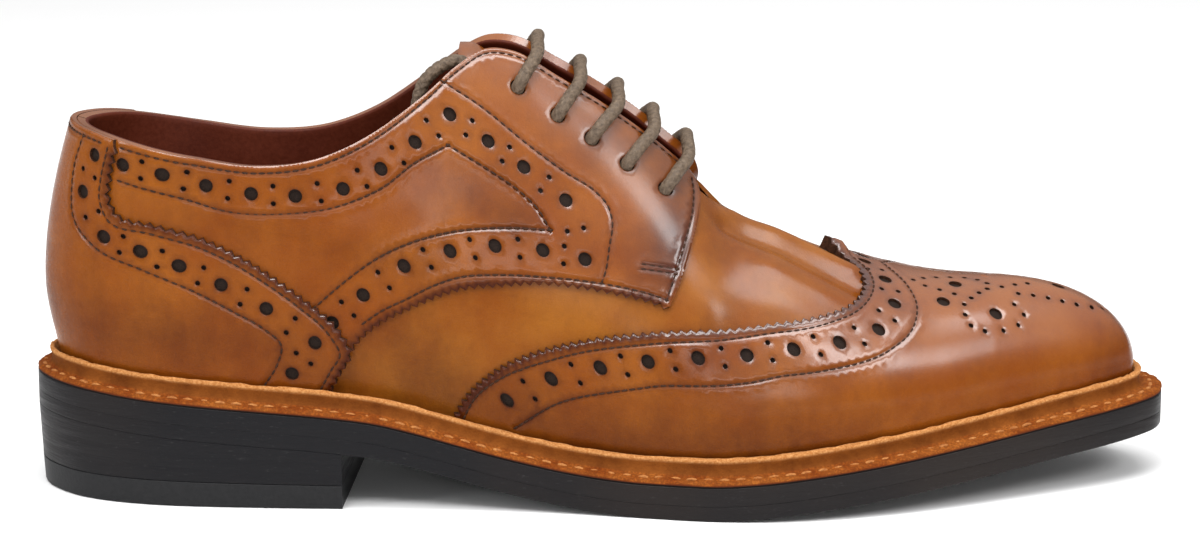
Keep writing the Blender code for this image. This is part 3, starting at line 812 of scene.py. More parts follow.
def resample(line: np.ndarray, step: float, smooth: bool = True) -> np.ndarray:
    """Spaces points evenly along a line.

    Args:
        line: The line's corners.
        step: Spacing.
        smooth: Whether the line is rounded through its corners first.

    Returns:
        The new points.
    """
    line = np.asarray(line, float)
    lengths = running_length(line)
    if smooth and len(line) > 2:
        fine = np.linspace(0, lengths[-1], 20 * len(line))
        line = np.stack([smooth_curve(lengths, column, fine) for column in line.T], -1)
        lengths = running_length(line)
    at = np.linspace(0, lengths[-1], max(2, int(round(lengths[-1] / step)) + 1))
    return np.stack([np.interp(at, lengths, column) for column in line.T], -1)


def square_to(line: np.ndarray) -> np.ndarray:
    """Gives the direction to the left of a line at each of its points.

    Args:
        line: Flat points.

    Returns:
        Unit directions.
    """
    run = unit(np.gradient(line, axis=0))
    return np.stack([-run[:, 1], run[:, 0]], -1)


def nearest(points: np.ndarray, places: np.ndarray) -> np.ndarray:
    """Measures how far points lie from the nearest of some places.

    Args:
        points: Flat points.
        places: The places.

    Returns:
        One distance for each point.
    """
    gap = np.full(len(points), np.inf)
    for place in places:
        gap = np.minimum(gap, np.linalg.norm(points - place, axis=1))
    return gap


def pinked(line: np.ndarray, pitch: float = 2.6, depth: float = 1.15) -> np.ndarray:
    """Cuts a line into the saw teeth of pinking shears.

    Args:
        line: Flat points, with the leather on their left.
        pitch: Distance from tooth to tooth.
        depth: Depth of a tooth.

    Returns:
        Points that alternate between tips and notches.
    """
    line = resample(line, pitch / 2)
    tip = np.where(np.arange(len(line)) % 2 == 0, 0.35, -0.65) * depth
    return line + square_to(line) * tip[:, None]


class Fold(NamedTuple):
    """A soft trough or ridge in the leather, listed one by one: a line of the pattern, its height and its
    width.
    """

    line: np.ndarray | list[tuple[float, float]]
    height: float
    width: float


class Shade(NamedTuple):
    """A darker or paler patch, some burnishing and some painted light and shade: its middle, its reach each
    way and its strength.
    """

    middle: tuple[float, float]
    reach: tuple[float, float]
    strength: float


class Holes(NamedTuple):
    """Punched holes of one size: their middles on a pattern, their radius and their sides."""

    places: np.ndarray
    radius: float
    sides: int


def bell(distance: np.ndarray) -> np.ndarray:
    """Falls off softly from 1 with distance.

    Args:
        distance: Distances, as shares of the bell's width.

    Returns:
        Values from 1 down to 0.
    """
    return np.exp(-(distance**2))


@dataclass
class LeatherPanel:
    """One cut piece of leather: outline, holes, sewn rows and folds on a flat pattern, for the last."""

    name: str
    pattern: BandPattern | CapPattern
    outline: np.ndarray
    top: float
    bottom: float
    holes: list[Holes] = field(default_factory=list)
    rows: list[np.ndarray] = field(default_factory=list)
    folds: list[Fold] = field(default_factory=list)
    shades: list[Shade] = field(default_factory=list)
    spacing: float = 1.5
    roll: float = 0.35
    roll_width: float = 0.8
    edge_shade: float = 0.95
    floor: float = 1.0
    flip: bool = False
    turned: list[np.ndarray] = field(default_factory=list)

    def __post_init__(self) -> None:
        """Smooths the sewn rows once."""
        self.rows = [resample(row, 2.0) for row in self.rows]

    def free_points(self) -> np.ndarray:
        """Spreads points over the pattern, away from its edges, holes and rows.

        Returns:
            Flat points.
        """
        low, high = self.outline.min(0), self.outline.max(0)
        across = np.arange(low[0], high[0], self.spacing)
        up = np.arange(low[1], high[1], self.spacing * 0.87)
        grid_x, grid_y = np.meshgrid(across, up)
        grid_x[1::2] += self.spacing / 2
        points = np.stack([grid_x.ravel(), grid_y.ravel()], -1)
        points = points[inside(points, self.outline)]
        points = points[polyline_distance(points, self.outline, True) > 0.6 * self.spacing]
        for row in self.rows:
            points = points[polyline_distance(points, row) > ROW_ROOM]
        for holes in self.holes:
            points = points[nearest(points, holes.places) > holes.radius + HOLE_ROOM]
        return points

    def extra_points(self) -> np.ndarray:
        """Adds points beside the edges, along the sewn rows and round the holes.

        Returns:
            Flat points.
        """
        found = []
        edge = resample(np.vstack([self.outline, self.outline[:1]]), 1.1, smooth=False)
        for depth in (0.35 * self.roll_width, self.roll_width):
            ring = edge + square_to(edge) * depth
            gap = polyline_distance(ring, self.outline, True)
            found.append(ring[inside(ring, self.outline) & (gap > 0.8 * depth)])
        for row in self.rows:
            line = resample(row, 0.9)
            side = square_to(line)
            found += [line, line + side * 0.5, line - side * 0.5]
        for holes in self.holes:
            ring = circle(holes.sides, holes.radius + 0.35, np.pi / holes.sides)
            found += [place + ring for place in holes.places]
        points = np.vstack(found)
        points = points[inside(points, self.outline)]
        keep = polyline_distance(points, self.outline, True) > 0.15
        for holes in self.holes:
            keep &= nearest(points, holes.places) > holes.radius + 0.2
        return points[keep]

    def height(self, flat: np.ndarray) -> np.ndarray:
        """Gives the leather's height over its layer: rolled edges, stitch grooves, hole lips and folds.

        Args:
            flat: Points of the pattern.

        Returns:
            Heights.
        """
        edge = polyline_distance(flat, self.outline, True)
        height = -self.roll * np.clip(1 - edge / self.roll_width, 0, 1) ** 2
        for row in self.rows:
            gap = polyline_distance(flat, row)
            height += SEAM_SWELL * bell((gap - SEAM_SWELL_AT) / SEAM_SWELL_WIDTH)
            height -= SEAM_GROOVE * bell(gap / SEAM_GROOVE_WIDTH)
        for holes in self.holes:
            gap = nearest(flat, holes.places) - holes.radius
            height -= HOLE_LIP * np.exp(-np.maximum(gap, 0) / HOLE_LIP_WIDTH)
        for line, rise, width in self.folds:
            height += rise * bell(polyline_distance(flat, resample(line, 3.0)) / width)
        return height

    def shade(self, flat: np.ndarray) -> np.ndarray:
        """Gives the leather's darkness: burnishing, rubbed edges and patches, some of them painted light and
        shade.

        Args:
            flat: Points of the pattern.

        Returns:
            Darkness from 0 to 1.
        """
        dark = self.edge_shade * bell(polyline_distance(flat, self.outline, True) / EDGE_BURNISH_WIDTH)
        for line in self.turned:
            close = bell(polyline_distance(flat, line) / TURNED_WIDTH)
            dark = dark * (1 - close) - (TURNED_PALER if self.edge_shade else 0) * close
        for row in self.rows:
            close = bell(polyline_distance(flat, row) / SEAM_BURNISH_WIDTH)
            dark = np.maximum(dark, SEAM_BURNISH * close)
        for holes in self.holes:
            gap = nearest(flat, holes.places) - holes.radius
            dark = np.maximum(dark, HOLE_BURNISH * np.exp(-np.maximum(gap, 0) / HOLE_BURNISH_WIDTH))
        for middle, reach, strength in self.shades:
            dark = dark + strength * np.exp(-(((flat - middle) / reach) ** 2).sum(1))
        return np.clip(dark, -1, 1)

    def cut(self) -> tuple[np.ndarray, np.ndarray, np.ndarray]:
        """Cuts the flat panel into triangles.

        Returns:
            Flat points, triangles, and for each triangle whether it is the floor of a hole.
        """
        rings = [self.outline]
        for holes in self.holes:
            rings += [place + circle(holes.sides, holes.radius) for place in holes.places]
        edges, count = [], 0
        for ring in rings:
            edges += [(count + n, count + (n + 1) % len(ring)) for n in range(len(ring))]
            count += len(ring)
        flat = np.vstack([*rings, self.extra_points(), self.free_points()])
        made = delaunay_2d_cdt([Vector(point) for point in flat], edges, [], 0, 1e-4)
        flat = np.array([tuple(point) for point in made[0]])
        faces = np.array([tuple(face) for face in made[2]])
        middle = flat[faces].mean(1)
        keep = inside(middle, self.outline)
        floor = np.zeros(len(faces), bool)
        for holes in self.holes:
            floor |= nearest(middle, holes.places) < holes.radius * 0.98
        return flat, faces[keep], floor[keep]

    def build(self, finish: "LeatherFinish") -> Object:
        """Makes the panel: face, edge walls, hole walls and hole floors, with its own normals.

        Args:
            finish: The leather's finish.

        Returns:
            The finished object.
        """
        flat, faces, floor = self.cut()
        used, sunk = np.unique(faces[~floor]), np.unique(faces[floor])
        number = np.zeros(len(flat), int)
        number[used] = np.arange(len(used))
        skin = number[faces[~floor]].tolist()
        rims = dict.fromkeys((a, b) for face in skin for a, b in zip(face, face[1:] + face[:1]))
        open_edges = [(a, b) for a, b in rims if (b, a) not in rims]
        rim = np.unique(open_edges)
        flat_rim = flat[used[rim]]
        soft = np.zeros(len(rim), bool)
        for line in self.turned:
            soft |= polyline_distance(flat_rim, line) < 0.25
        turned = dict(zip(rim.tolist(), soft))
        under = {corner: len(used) + n for n, corner in enumerate(rim.tolist())}
        walls = [(b, a, under[a], under[b]) for a, b in open_edges]
        number[sunk] = len(used) + len(rim) + np.arange(len(sunk))
        floors = number[faces[floor]].tolist()
        bottom = np.where(np.isin(used[rim], sunk), self.top - self.floor, self.bottom)
        parts = [(flat[used], self.top + self.height(flat[used])), (flat_rim, bottom)]
        if len(sunk):
            parts.append((flat[sunk], self.top - self.floor))
        points = np.vstack([self.pattern.wrap(where, lift) for where, lift in parts])
        item = mesh_object(self.name, points, skin + walls + floors, flip=self.flip)
        mesh = item.data
        for material in finish.materials():
            mesh.materials.append(material)
        sides = [0 if turned[a] and turned[b] else 1 for a, b in open_edges]
        slots = np.array([0] * len(skin) + sides + [2] * len(floors), np.int32)
        mesh.polygons.foreach_set("material_index", slots)
        dark = np.concatenate([self.shade(flat[used]), np.zeros(len(rim)), np.ones(len(sunk))])
        # Burnishing plus painted light and shade; the material uses it to darken or pale the base colour.
        set_attribute(mesh, "burnish", dark)
        self.set_normals(mesh, self.normals(flat[used]), len(used), len(skin))
        size = np.ptp(self.outline, axis=0)
        LOG.info("%s: flat size %.0f x %.0f mm", self.name, *size)
        return item

    def normals(self, flat: np.ndarray, step: float = 0.12) -> np.ndarray:
        """Measures the finished surface's normals by small steps over the pattern.

        Args:
            flat: Points of the pattern.
            step: Length of a step.

        Returns:
            Unit directions.
        """
        moved = []
        for move in ((step, 0), (-step, 0), (0, step), (0, -step)):
            at = flat + move
            moved.append(self.pattern.wrap(at, self.top + self.height(at)))
        out = unit(np.cross(moved[0] - moved[1], moved[2] - moved[3]))
        base = self.pattern.wrap(flat, self.top + 1.0) - self.pattern.wrap(flat, self.top)
        return out * np.sign(np.einsum("ij,ij->i", out, base))[:, None]

    @staticmethod
    def set_normals(mesh: bpy.types.Mesh, normals: np.ndarray, point_count: int, face_count: int) -> None:
        """Gives the face its own smooth normals, and leaves walls and floors flat.

        Args:
            mesh: The mesh.
            normals: Normals of the face's points.
            point_count: How many points belong to the face.
            face_count: How many polygons belong to it.
        """
        corners = np.zeros(len(mesh.loops), np.int32)
        mesh.loops.foreach_get("vertex_index", corners)
        facets = np.zeros(len(mesh.polygons) * 3, np.float32)
        mesh.polygons.foreach_get("normal", facets)
        totals = np.zeros(len(mesh.polygons), np.int32)
        mesh.polygons.foreach_get("loop_total", totals)
        owner = np.repeat(np.arange(len(mesh.polygons)), totals)
        loops = facets.reshape(-1, 3)[owner]
        smooth = (owner < face_count) & (corners < point_count)
        loops[smooth] = normals[corners[smooth]]
        mesh.shade_smooth()
        mesh.normals_split_custom_set(loops.tolist())


def mesh_object(
    name: str, points: np.ndarray, faces: list, material: Material | None = None, flip: bool = False
) -> Object:
    """Makes a smooth object from points of the last's frame.

    Args:
        name: Its name.
        points: Points in millimetres.
        faces: Corner numbers of each face.
        material: Its material, if it has only one.
        flip: Whether the faces are turned over.

    Returns:
        The object, in metres in the part's frame.
    """
    mesh = bpy.data.meshes.new(name)
    if flip:
        faces = [face[::-1] for face in faces]
    mesh.from_pydata(((points - PLAN.origin) * MM).tolist(), [], faces)
    mesh.update()
    mesh.shade_smooth()
    if material:
        mesh.materials.append(material)
    item = bpy.data.objects.new(name, mesh)
    bpy.context.scene.collection.objects.link(item)
    return item


def set_attribute(mesh: bpy.types.Mesh, name: str, values: np.ndarray) -> None:
    """Gives a mesh one number for each point, which a material reads.

    Args:
        mesh: The mesh.
        name: The attribute's name.
        values: The numbers.
    """
    mesh.attributes.new(name, "FLOAT", "POINT").data.foreach_set("value", np.asarray(values, np.float32))


def grid_faces(rows: int, columns: int, closed: bool = True, turned: bool = False) -> list[tuple]:
    """Joins rows of points by four-sided faces.

    Args:
        rows: How many rows.
        columns: Points in a row.
        closed: Whether each row closes on itself.
        turned: Whether the corners run the other way round.

    Returns:
        Corner numbers of each face.
    """
    faces = []
    for i in range(rows - 1):
        for j in range(columns if closed else columns - 1):
            a, b = i * columns + j, i * columns + (j + 1) % columns
            faces.append((a, a + columns, b + columns, b) if turned else (a, b, b + columns, a + columns))
    return faces


def tube_faces(rings: int, sides: int) -> list[tuple]:
    """Joins rings of points to a tube with two flat ends.

    Args:
        rings: How many rings.
        sides: Points in a ring.

    Returns:
        Corner numbers of each face.
    """
    last = (rings - 1) * sides
    return grid_faces(rings, sides) + [tuple(range(sides))[::-1], tuple(range(last, last + sides))]


def face_outward(mesh: bpy.types.Mesh) -> None:
    """Merges a closed mesh's doubled points and turns its faces outward.

    Args:
        mesh: The mesh.
    """
    shape = bmesh.new()
    shape.from_mesh(mesh)
    bmesh.ops.remove_doubles(shape, verts=shape.verts, dist=1e-6)
    bmesh.ops.recalc_face_normals(shape, faces=shape.faces)
    shape.to_mesh(mesh)
    shape.free()


class Nodes:
    """A small helper that wires one material's nodes."""

    def __init__(self, name: str) -> None:
        """Starts a material with its shader.

        Args:
            name: The material's name.
        """
        self.material = bpy.data.materials.new(name)
        self.material.use_nodes = True
        self.tree = self.material.node_tree
        self.shader = self.tree.nodes["Principled BSDF"]
        self.place = self.add("ShaderNodeTexCoord").outputs["Object"]

    def add(self, kind: str, **values: object) -> bpy.types.Node:
        """Adds a node.

        Args:
            kind: The node's type.
            values: Its properties by name.

        Returns:
            The node.
        """
        node = self.tree.nodes.new(kind)
        for key, value in values.items():
            setattr(node, key, value)
        return node

    def link(self, out: Socket, into: Socket) -> None:
        """Joins two sockets.

        Args:
            out: The socket that gives.
            into: The socket that takes.
        """
        self.tree.links.new(out, into)

    def noise(
        self, scale: float, detail: float = 3.0, rough: float = 0.5, stretch: tuple = (1, 1, 1)
    ) -> Socket:
        """Adds noise on the object's own place.

        Args:
            scale: Cells per metre.
            detail: Octaves.
            rough: Strength of the finer octaves.
            stretch: Scale along each axis.

        Returns:
            The noise value.
        """
        mapping = self.add("ShaderNodeMapping")
        mapping.inputs["Scale"].default_value = stretch
        self.link(self.place, mapping.inputs["Vector"])
        node = self.add("ShaderNodeTexNoise")
        for key, number in (("Scale", scale), ("Detail", detail), ("Roughness", rough)):
            node.inputs[key].default_value = number
        self.link(mapping.outputs["Vector"], node.inputs["Vector"])
        return node.outputs["Fac"]

    def voronoi(self, scale: float) -> Socket:
        """Adds cells on the object's own place.

        Args:
            scale: Cells per metre.

        Returns:
            The distance to the cells' edges.
        """
        node = self.add("ShaderNodeTexVoronoi", feature="DISTANCE_TO_EDGE")
        node.inputs["Scale"].default_value = scale
        self.link(self.place, node.inputs["Vector"])
        return node.outputs["Distance"]

    def ranged(self, value: Socket, low: float, high: float, to_low: float, to_high: float) -> Socket:
        """Maps a value from one range to another, clamped.

        Args:
            value: The value.
            low: Start of its range.
            high: End of its range.
            to_low: Start of the new range.
            to_high: End of the new range.

        Returns:
            The mapped value.
        """
        node = self.add("ShaderNodeMapRange")
        self.link(value, node.inputs["Value"])
        for key, number in (("From Min", low), ("From Max", high), ("To Min", to_low), ("To Max", to_high)):
            node.inputs[key].default_value = number
        return node.outputs["Result"]

    def blend(self, share: Socket, first: object, second: object) -> Socket:
        """Mixes two colours.

        Args:
            share: The second colour's share.
            first: A colour or a socket.
            second: A colour or a socket.

        Returns:
            The mixed colour.
        """
        node = self.add("ShaderNodeMix", data_type="RGBA")
        self.link(share, node.inputs["Factor"])
        for key, colour in (("A", first), ("B", second)):
            socket = [s for s in node.inputs if s.name == key and s.type == "RGBA"][0]
            if isinstance(colour, Socket):
                self.link(colour, socket)
            else:
                socket.default_value = (*colour, 1)
        return [s for s in node.outputs if s.type == "RGBA"][0]

    def sum(self, first: Socket, second: Socket) -> Socket:
        """Adds two values.

        Args:
            first: A value.
            second: A value.

        Returns:
            Their sum.
        """
        node = self.add("ShaderNodeMath", operation="ADD")
        self.link(first, node.inputs[0])
        self.link(second, node.inputs[1])
        return node.outputs[0]

    def upward(self) -> Socket:
        """Reads how far the surface looks up.

        Returns:
            The height of the normal, from -1 to 1.
        """
        split = self.add("ShaderNodeSeparateXYZ")
        self.link(self.add("ShaderNodeNewGeometry").outputs["Normal"], split.inputs[0])
        return split.outputs["Z"]

    def attribute(self, name: str) -> Socket:
        """Reads a mesh attribute.

        Args:
            name: The attribute's name.

        Returns:
            Its value.
        """
        return self.add("ShaderNodeAttribute", attribute_name=name).outputs["Fac"]

    def bump(self, *layers: tuple[Socket, float]) -> None:
        """Gives the shader bumps.

        Args:
            layers: Heights from 0 to 1 with their depth in metres.
        """
        before = None
        for height, depth in layers:
            node = self.add("ShaderNodeBump")
            node.inputs["Strength"].default_value = 1.0
            node.inputs["Distance"].default_value = depth
            self.link(height, node.inputs["Height"])
            if before is not None:
                self.link(before, node.inputs["Normal"])
            before = node.outputs["Normal"]
        self.link(before, self.shader.inputs["Normal"])

    def set(self, **values: float | tuple) -> None:
        """Sets the shader's sockets.

        Args:
            values: Numbers by socket name, with underscores for blanks.
        """
        for key, value in values.items():
            self.shader.inputs[key.replace("_", " ")].default_value = value

    def feed(self, **sockets: Socket) -> None:
        """Links values and colours into the shader.

        Args:
            sockets: What to link, by socket name, with underscores for blanks.
        """
        for key, socket in sockets.items():
            self.link(socket, self.shader.inputs[key.replace("_", " ")])


@dataclass(frozen=True)
class LeatherFinish:
    """Glossy burnished calf: warm base, darker tone for burnishing and painted shade, fine grain, waxed coat.
    """

    name: str
    base: tuple[float, float, float] = (0.176, 0.040, 0.0028)
    light: tuple[float, float, float] = (0.240, 0.067, 0.0060)
    dark: tuple[float, float, float] = (0.052, 0.0095, 0.0018)
    edge: tuple[float, float, float] = (0.030, 0.012, 0.006)
    roughness: float = 0.27
    grain: float = 0.00005
    gloss: float = 1.1

    def materials(self) -> list[Material]:
        """Makes the face, raw edge and hole floor, whose near-black colour is painted shade.

        Returns:
            Three materials.
        """
        return [self.face(), self.raw_edge(), self.shaded_hole_floor()]

    @cache
    def face(self) -> Material:
        """Makes the polished face.

        Returns:
            The material.
        """
        nodes = Nodes(self.name)
        cloud = nodes.noise(38, 4, 0.55)
        fine = nodes.noise(420, 3, 0.6)
        mottled = nodes.blend(nodes.ranged(cloud, 0.35, 0.65, 0, 1), self.base, self.light)
        patches = nodes.ranged(nodes.noise(90, 5, 0.65, (1.3, 1, 0.7)), 0.3, 0.7, -0.13, 0.17)
        # The attribute darkens the base colour with burnishing and with patches of painted shade and painted
        # light.
        rubbed_and_shaded = nodes.sum(nodes.attribute("burnish"), patches)
        speckled = nodes.sum(rubbed_and_shaded, nodes.ranged(fine, 0.3, 0.7, -0.06, 0.08))
        # Painted sheen: the coat is thick on faces that look up and thin on low faces, so tops reflect the
        # lights more.
        nodes.feed(
            Base_Color=nodes.blend(nodes.ranged(speckled, 0, 1, 0, 1), mottled, self.dark),
            Roughness=nodes.ranged(fine, 0.3, 0.7, self.roughness - 0.04, self.roughness + 0.07),
            Coat_Weight=nodes.ranged(nodes.upward(), 0.05, 0.65, 0.04, 0.9 * self.gloss),
        )
        nodes.set(Coat_Roughness=0.22, Coat_IOR=1.75, Specular_IOR_Level=0.06)
        pebble = nodes.voronoi(1500)
        nodes.bump((pebble, self.grain), (nodes.noise(900, 2, 0.6), self.grain * 1.6), (cloud, 0.0004))
        return nodes.material

    @cache
    def raw_edge(self) -> Material:
        """Makes the stained cut edge.

        Returns:
            The material.
        """
        nodes = Nodes(f"{self.name}_edge")
        fibre = nodes.noise(1400, 3, 0.7)
        lighter = tuple(min(1, 2.6 * value) for value in self.edge)
        nodes.feed(Base_Color=nodes.blend(nodes.ranged(fibre, 0.4, 0.75, 0, 1), self.edge, lighter))
        nodes.set(Roughness=0.85, Specular_IOR_Level=0.1)
        nodes.bump((fibre, 0.0002))
        return nodes.material

    @staticmethod
    @cache
    def shaded_hole_floor() -> Material:
        """Makes the near-black floor of a punched hole: painted shade over the leather that lies below.

        Returns:
            The material.
        """
        nodes = Nodes("shaded_hole_floor")
        speck = nodes.noise(2500, 2, 0.6)
        nodes.feed(Base_Color=nodes.blend(speck, (0.006, 0.004, 0.003), (0.028, 0.015, 0.010)))
        nodes.set(Roughness=0.75, Specular_IOR_Level=0.15)
        nodes.bump((speck, 0.0001))
        return nodes.material


@dataclass(frozen=True)
class FibreFinish:
    """A matt, fibrous or rubbed surface: two colours clouded together, with bumps of two sizes."""

    name: str
    first: tuple[float, float, float]
    second: tuple[float, float, float]
    cloud: float
    fine: float
    depth: float
    roughness: float
    coat: float = 0.0
    stretch: tuple[float, float, float] = (1, 1, 1)
    specular: float = 0.5

    @cache
    def material(self) -> Material:
        """Makes the material.

        Returns:
            The material.
        """
        nodes = Nodes(self.name)
        cloud = nodes.noise(self.cloud, 4, 0.6, self.stretch)
        fine = nodes.noise(self.fine, 3, 0.65, self.stretch)
        share = nodes.ranged(nodes.sum(cloud, fine), 0.7, 1.3, 0, 1)
        nodes.feed(
            Base_Color=nodes.blend(share, self.first, self.second),
            Roughness=nodes.ranged(fine, 0.3, 0.7, self.roughness - 0.08, self.roughness + 0.08),
        )
        nodes.set(Coat_Weight=self.coat, Coat_Roughness=0.25, Specular_IOR_Level=self.specular)
        nodes.bump((fine, self.depth), (cloud, self.depth * 3))
        return nodes.material


THREAD = FibreFinish(
    "thread", (0.016, 0.006, 0.003), (0.055, 0.022, 0.010), 900, 3000, 0.00004, 0.7, specular=0.2
)
WELT_THREAD = FibreFinish(
    "welt_thread", (0.24, 0.07, 0.014), (0.50, 0.22, 0.065), 500, 1800, 0.00012, 0.8, specular=0.2
)
LINING = FibreFinish(
    "lining_burgundy", (0.060, 0.0095, 0.0036), (0.098, 0.018, 0.007), 60, 900, 0.00005, 0.5, specular=0.14
)
LACE_COTTON = FibreFinish(
    "lace_cotton", (0.052, 0.034, 0.022), (0.175, 0.124, 0.082), 900, 2600, 0.00012, 0.6, 0.05, specular=0.3
)
SOCK_LEATHER = FibreFinish("sock_leather", (0.30, 0.12, 0.045), (0.40, 0.17, 0.065), 50, 900, 0.00005, 0.55)


@dataclass
class StitchRow:
    """A row of sewing along a line of a pattern."""

    pattern: BandPattern | CapPattern
    line: np.ndarray
    lift: float
    pitch: float = 2.2
    length: float = 1.75
    width: float = 0.25

    def frames(self) -> tuple[np.ndarray, np.ndarray, np.ndarray, np.ndarray]:
        """Finds where each stitch lies.

        Returns:
            Middles, directions along, across and out.
        """
        flat = resample(self.line, self.pitch)
        place = self.pattern.wrap(flat, self.lift)
        run = unit(np.gradient(place, axis=0))
        across = unit(np.cross(self.pattern.wrap(flat, self.lift + 1.0) - place, run))
        return place, run, across, np.cross(run, across)


class Sewing:
    """All stitches of one thread, as small rounded pieces sunk in their grooves."""

    SIDES = 6
    SHARES = (-1.0, -0.8, -0.35, 0.35, 0.8, 1.0)
    WIDTHS = (0.25, 0.8, 1.0, 1.0, 0.8, 0.25)

    def __init__(self, name: str, finish: FibreFinish) -> None:
        """Starts with no rows.

        Args:
            name: The piece's name.
            finish: The thread's finish.
        """
        self.name = name
        self.finish = finish
        self.rows: list[StitchRow] = []

    def build(self) -> Object:
        """Makes the piece.

        Returns:
            The finished object.
        """
        cosine, sine = circle(self.SIDES).T[..., None]
        points, faces, start = [], [], 0
        pattern = tube_faces(len(self.SHARES), self.SIDES)
        for row in self.rows:
            for middle, ahead, side, up in zip(*row.frames()):
                for share, width in zip(self.SHARES, self.WIDTHS):
                    centre = middle + ahead * share * row.length / 2 - up * (0.25 * share**2)
                    points.append(centre + (cosine * side + sine * up * 0.8) * row.width * width)
                faces += [tuple(start + n for n in face) for face in pattern]
                start += len(self.SHARES) * self.SIDES
        return mesh_object(self.name, np.vstack(points), faces, self.finish.material())


def joined(segments: list[tuple[np.ndarray, bool]], side: Side) -> np.ndarray:
    """Joins lines into one outline that runs anticlockwise.

    Args:
        segments: Lines, each with whether it is pinked, in order for the outer side.
        side: The side. The inner side's lines run the other way.

    Returns:
        The outline's corners.
    """
    if side is Side.INNER:
        segments = [(line[::-1], pink) for line, pink in reversed(segments)]
    points = []
    for line, pink in segments:
        cut = pinked(line) if pink else resample(line, 1.2, smooth=False)
        points += [point for point in cut if not points or np.linalg.norm(point - points[-1]) > 0.3]
    while np.linalg.norm(points[0] - points[-1]) < 0.3:
        points.pop()
    return np.array(points)


def between(line: np.ndarray, spread: float) -> np.ndarray:
    """Puts a pair of small holes between each two neighbours of a chain of large ones.

    Args:
        line: Middles of the large holes.
        spread: Distance of each small hole from the chain.

    Returns:
        Middles of the small holes.
    """
    middle = (line[1:] + line[:-1]) / 2
    run = unit(line[1:] - line[:-1])
    side = np.stack([-run[:, 1], run[:, 0]], -1) * spread
    return np.vstack([middle + side, middle - side])


def punched(big: list[np.ndarray], small: list[np.ndarray]) -> list[Holes]:
    """Gathers a panel's large and small holes.

    Args:
        big: Groups of middles of large holes.
        small: Groups of middles of small holes.

    Returns:
        The two sizes of holes.
    """
    return [Holes(np.vstack(big), BIG_HOLE, 16), Holes(np.vstack(small), SMALL_HOLE, 9)]


BIG_HOLE = 1.8
SMALL_HOLE = 0.68
EYELET_HOLE = 2.0

# Where panels and rows start and end, and how far a row lies under its edge.
PANEL_FOOT = 2.0
TOP_LINE_END = 179.0
WING_START = 112.2
VAMP_START, VAMP_FOOT_END, VAMP_FOOT = 72.0, 119.0, 0.3
COLLAR_ROW_DROP = 1.8
COUNTER_ROW_DROP = 1.9
LINING_END = 181.0
TOE_LINING_START = 187.0
PAIR_SPREAD = 2.3

# Outlines, sewn rows and holes as (along the feather, girth) on the outer side's band pattern.
QUARTER_LOWER = [
    (173.5, 43.0), (167.9, 44.9), (160.8, 46.0), (150.1, 46.6), (139.4, 45.7), (128.4, 42.8),
    (117.5, 39.0), (110.5, 35.0), (103.2, 30.0), (95.9, 24.7), (92.5, 21.6), (89.1, 17.7), (86.0, 11.7),
    (83.2, 6.3), (81.3, 2.0),
]
FACING_FRONT = [(180.2, 83.6), (181.5, 78.6), (181.4, 72.1), (179.5, 61.2), (177.0, 51.5), (173.5, 43.0)]
QUARTER_ROWS = [
    [(112.6, 91.6), (123.2, 87.9), (136.2, 80.7), (146.1, 75.6), (153.3, 72.3), (157.1, 68.6), (158.2, 65.1),
     (157.5, 57.4), (156.5, 51.0), (155.7, 48.6)],
    [(114.1, 75.4), (124.8, 72.0), (133.4, 68.3), (138.4, 64.7), (141.7, 59.9)],
    [(141.7, 59.9), (132.1, 58.4), (121.3, 55.5), (110.4, 50.9), (96.0, 41.9), (87.2, 34.4), (78.3, 25.9)],
    [(29.0, 55.0), (43.7, 52.5), (56.6, 49.7), (70.0, 50.1), (83.3, 52.8), (96.0, 59.5),
     (105.3, 68.5), (114.1, 75.4)],
    [(172.9, 45.0), (167.9, 46.6), (160.7, 47.8), (150.1, 48.2), (139.4, 47.3), (128.4, 45.4), (117.5, 42.0),
     (110.5, 38.0), (103.2, 32.6), (95.9, 27.4), (91.5, 23.6)],
    [(179.2, 81.5), (179.6, 78.0), (179.5, 72.1), (177.6, 61.4), (175.1, 52.2), (172.9, 45.0)],
]
TACK_ROWS = [[(166.7, 54.2), (175.6, 53.3)], [(166.6, 52.9), (175.3, 52.0)]]
LOWER_HOLES = [
    (83.1, 22.5), (91.4, 31.0), (102.4, 41.0), (114.8, 48.1), (127.0, 52.6), (139.8, 54.3), (151.1, 53.9),
]
FACING_HOLES = [(114.5, 83.6), (125.0, 79.4), (134.6, 74.9), (145.9, 68.5), (151.1, 53.9)]
COLLAR_HOLES = [
    (30.0, 59.4), (39.9, 58.3), (50.4, 56.2), (62.2, 54.9), (73.7, 55.1), (86.2, 58.1), (96.2, 64.8),
    (105.3, 73.9), (114.5, 83.6),
]
COUNTER_FRONT = [
    (28.6, 63.8), (28.1, 62.4), (26.5, 55.2), (26.2, 49.4), (28.2, 46.0), (37.8, 44.4), (49.9, 41.6),
    (59.8, 37.5), (68.3, 32.6), (75.1, 28.1), (85.1, 20.2), (87.7, 15.3), (84.8, 9.4), (82.0, 3.8),
    (81.0, 2.0),
]
COUNTER_OUTER_ROW = [
    (26.5, 63.0), (24.6, 55.4), (24.2, 49.0), (26.6, 44.2), (37.2, 42.4), (49.2, 39.6), (58.8, 35.6),
    (67.2, 30.8), (73.9, 26.4), (82.9, 19.0), (85.2, 15.0), (82.6, 9.8), (80.0, 4.6),
]
COUNTER_INNER_ROW = [
    (17.0, 64.6), (14.6, 57.5), (14.4, 50.0), (15.6, 43.6), (23.1, 36.3), (34.4, 32.6), (46.0, 28.4),
    (57.7, 23.2), (65.5, 19.4), (69.6, 15.8), (68.4, 10.1), (65.1, 4.2),
]
COUNTER_HOLES = [
    (22.2, 60.6), (18.7, 50.2), (25.3, 39.7), (34.5, 37.4), (43.5, 34.6), (54.1, 30.4), (65.9, 25.0),
    (78.6, 17.1), (72.3, 8.0),
]

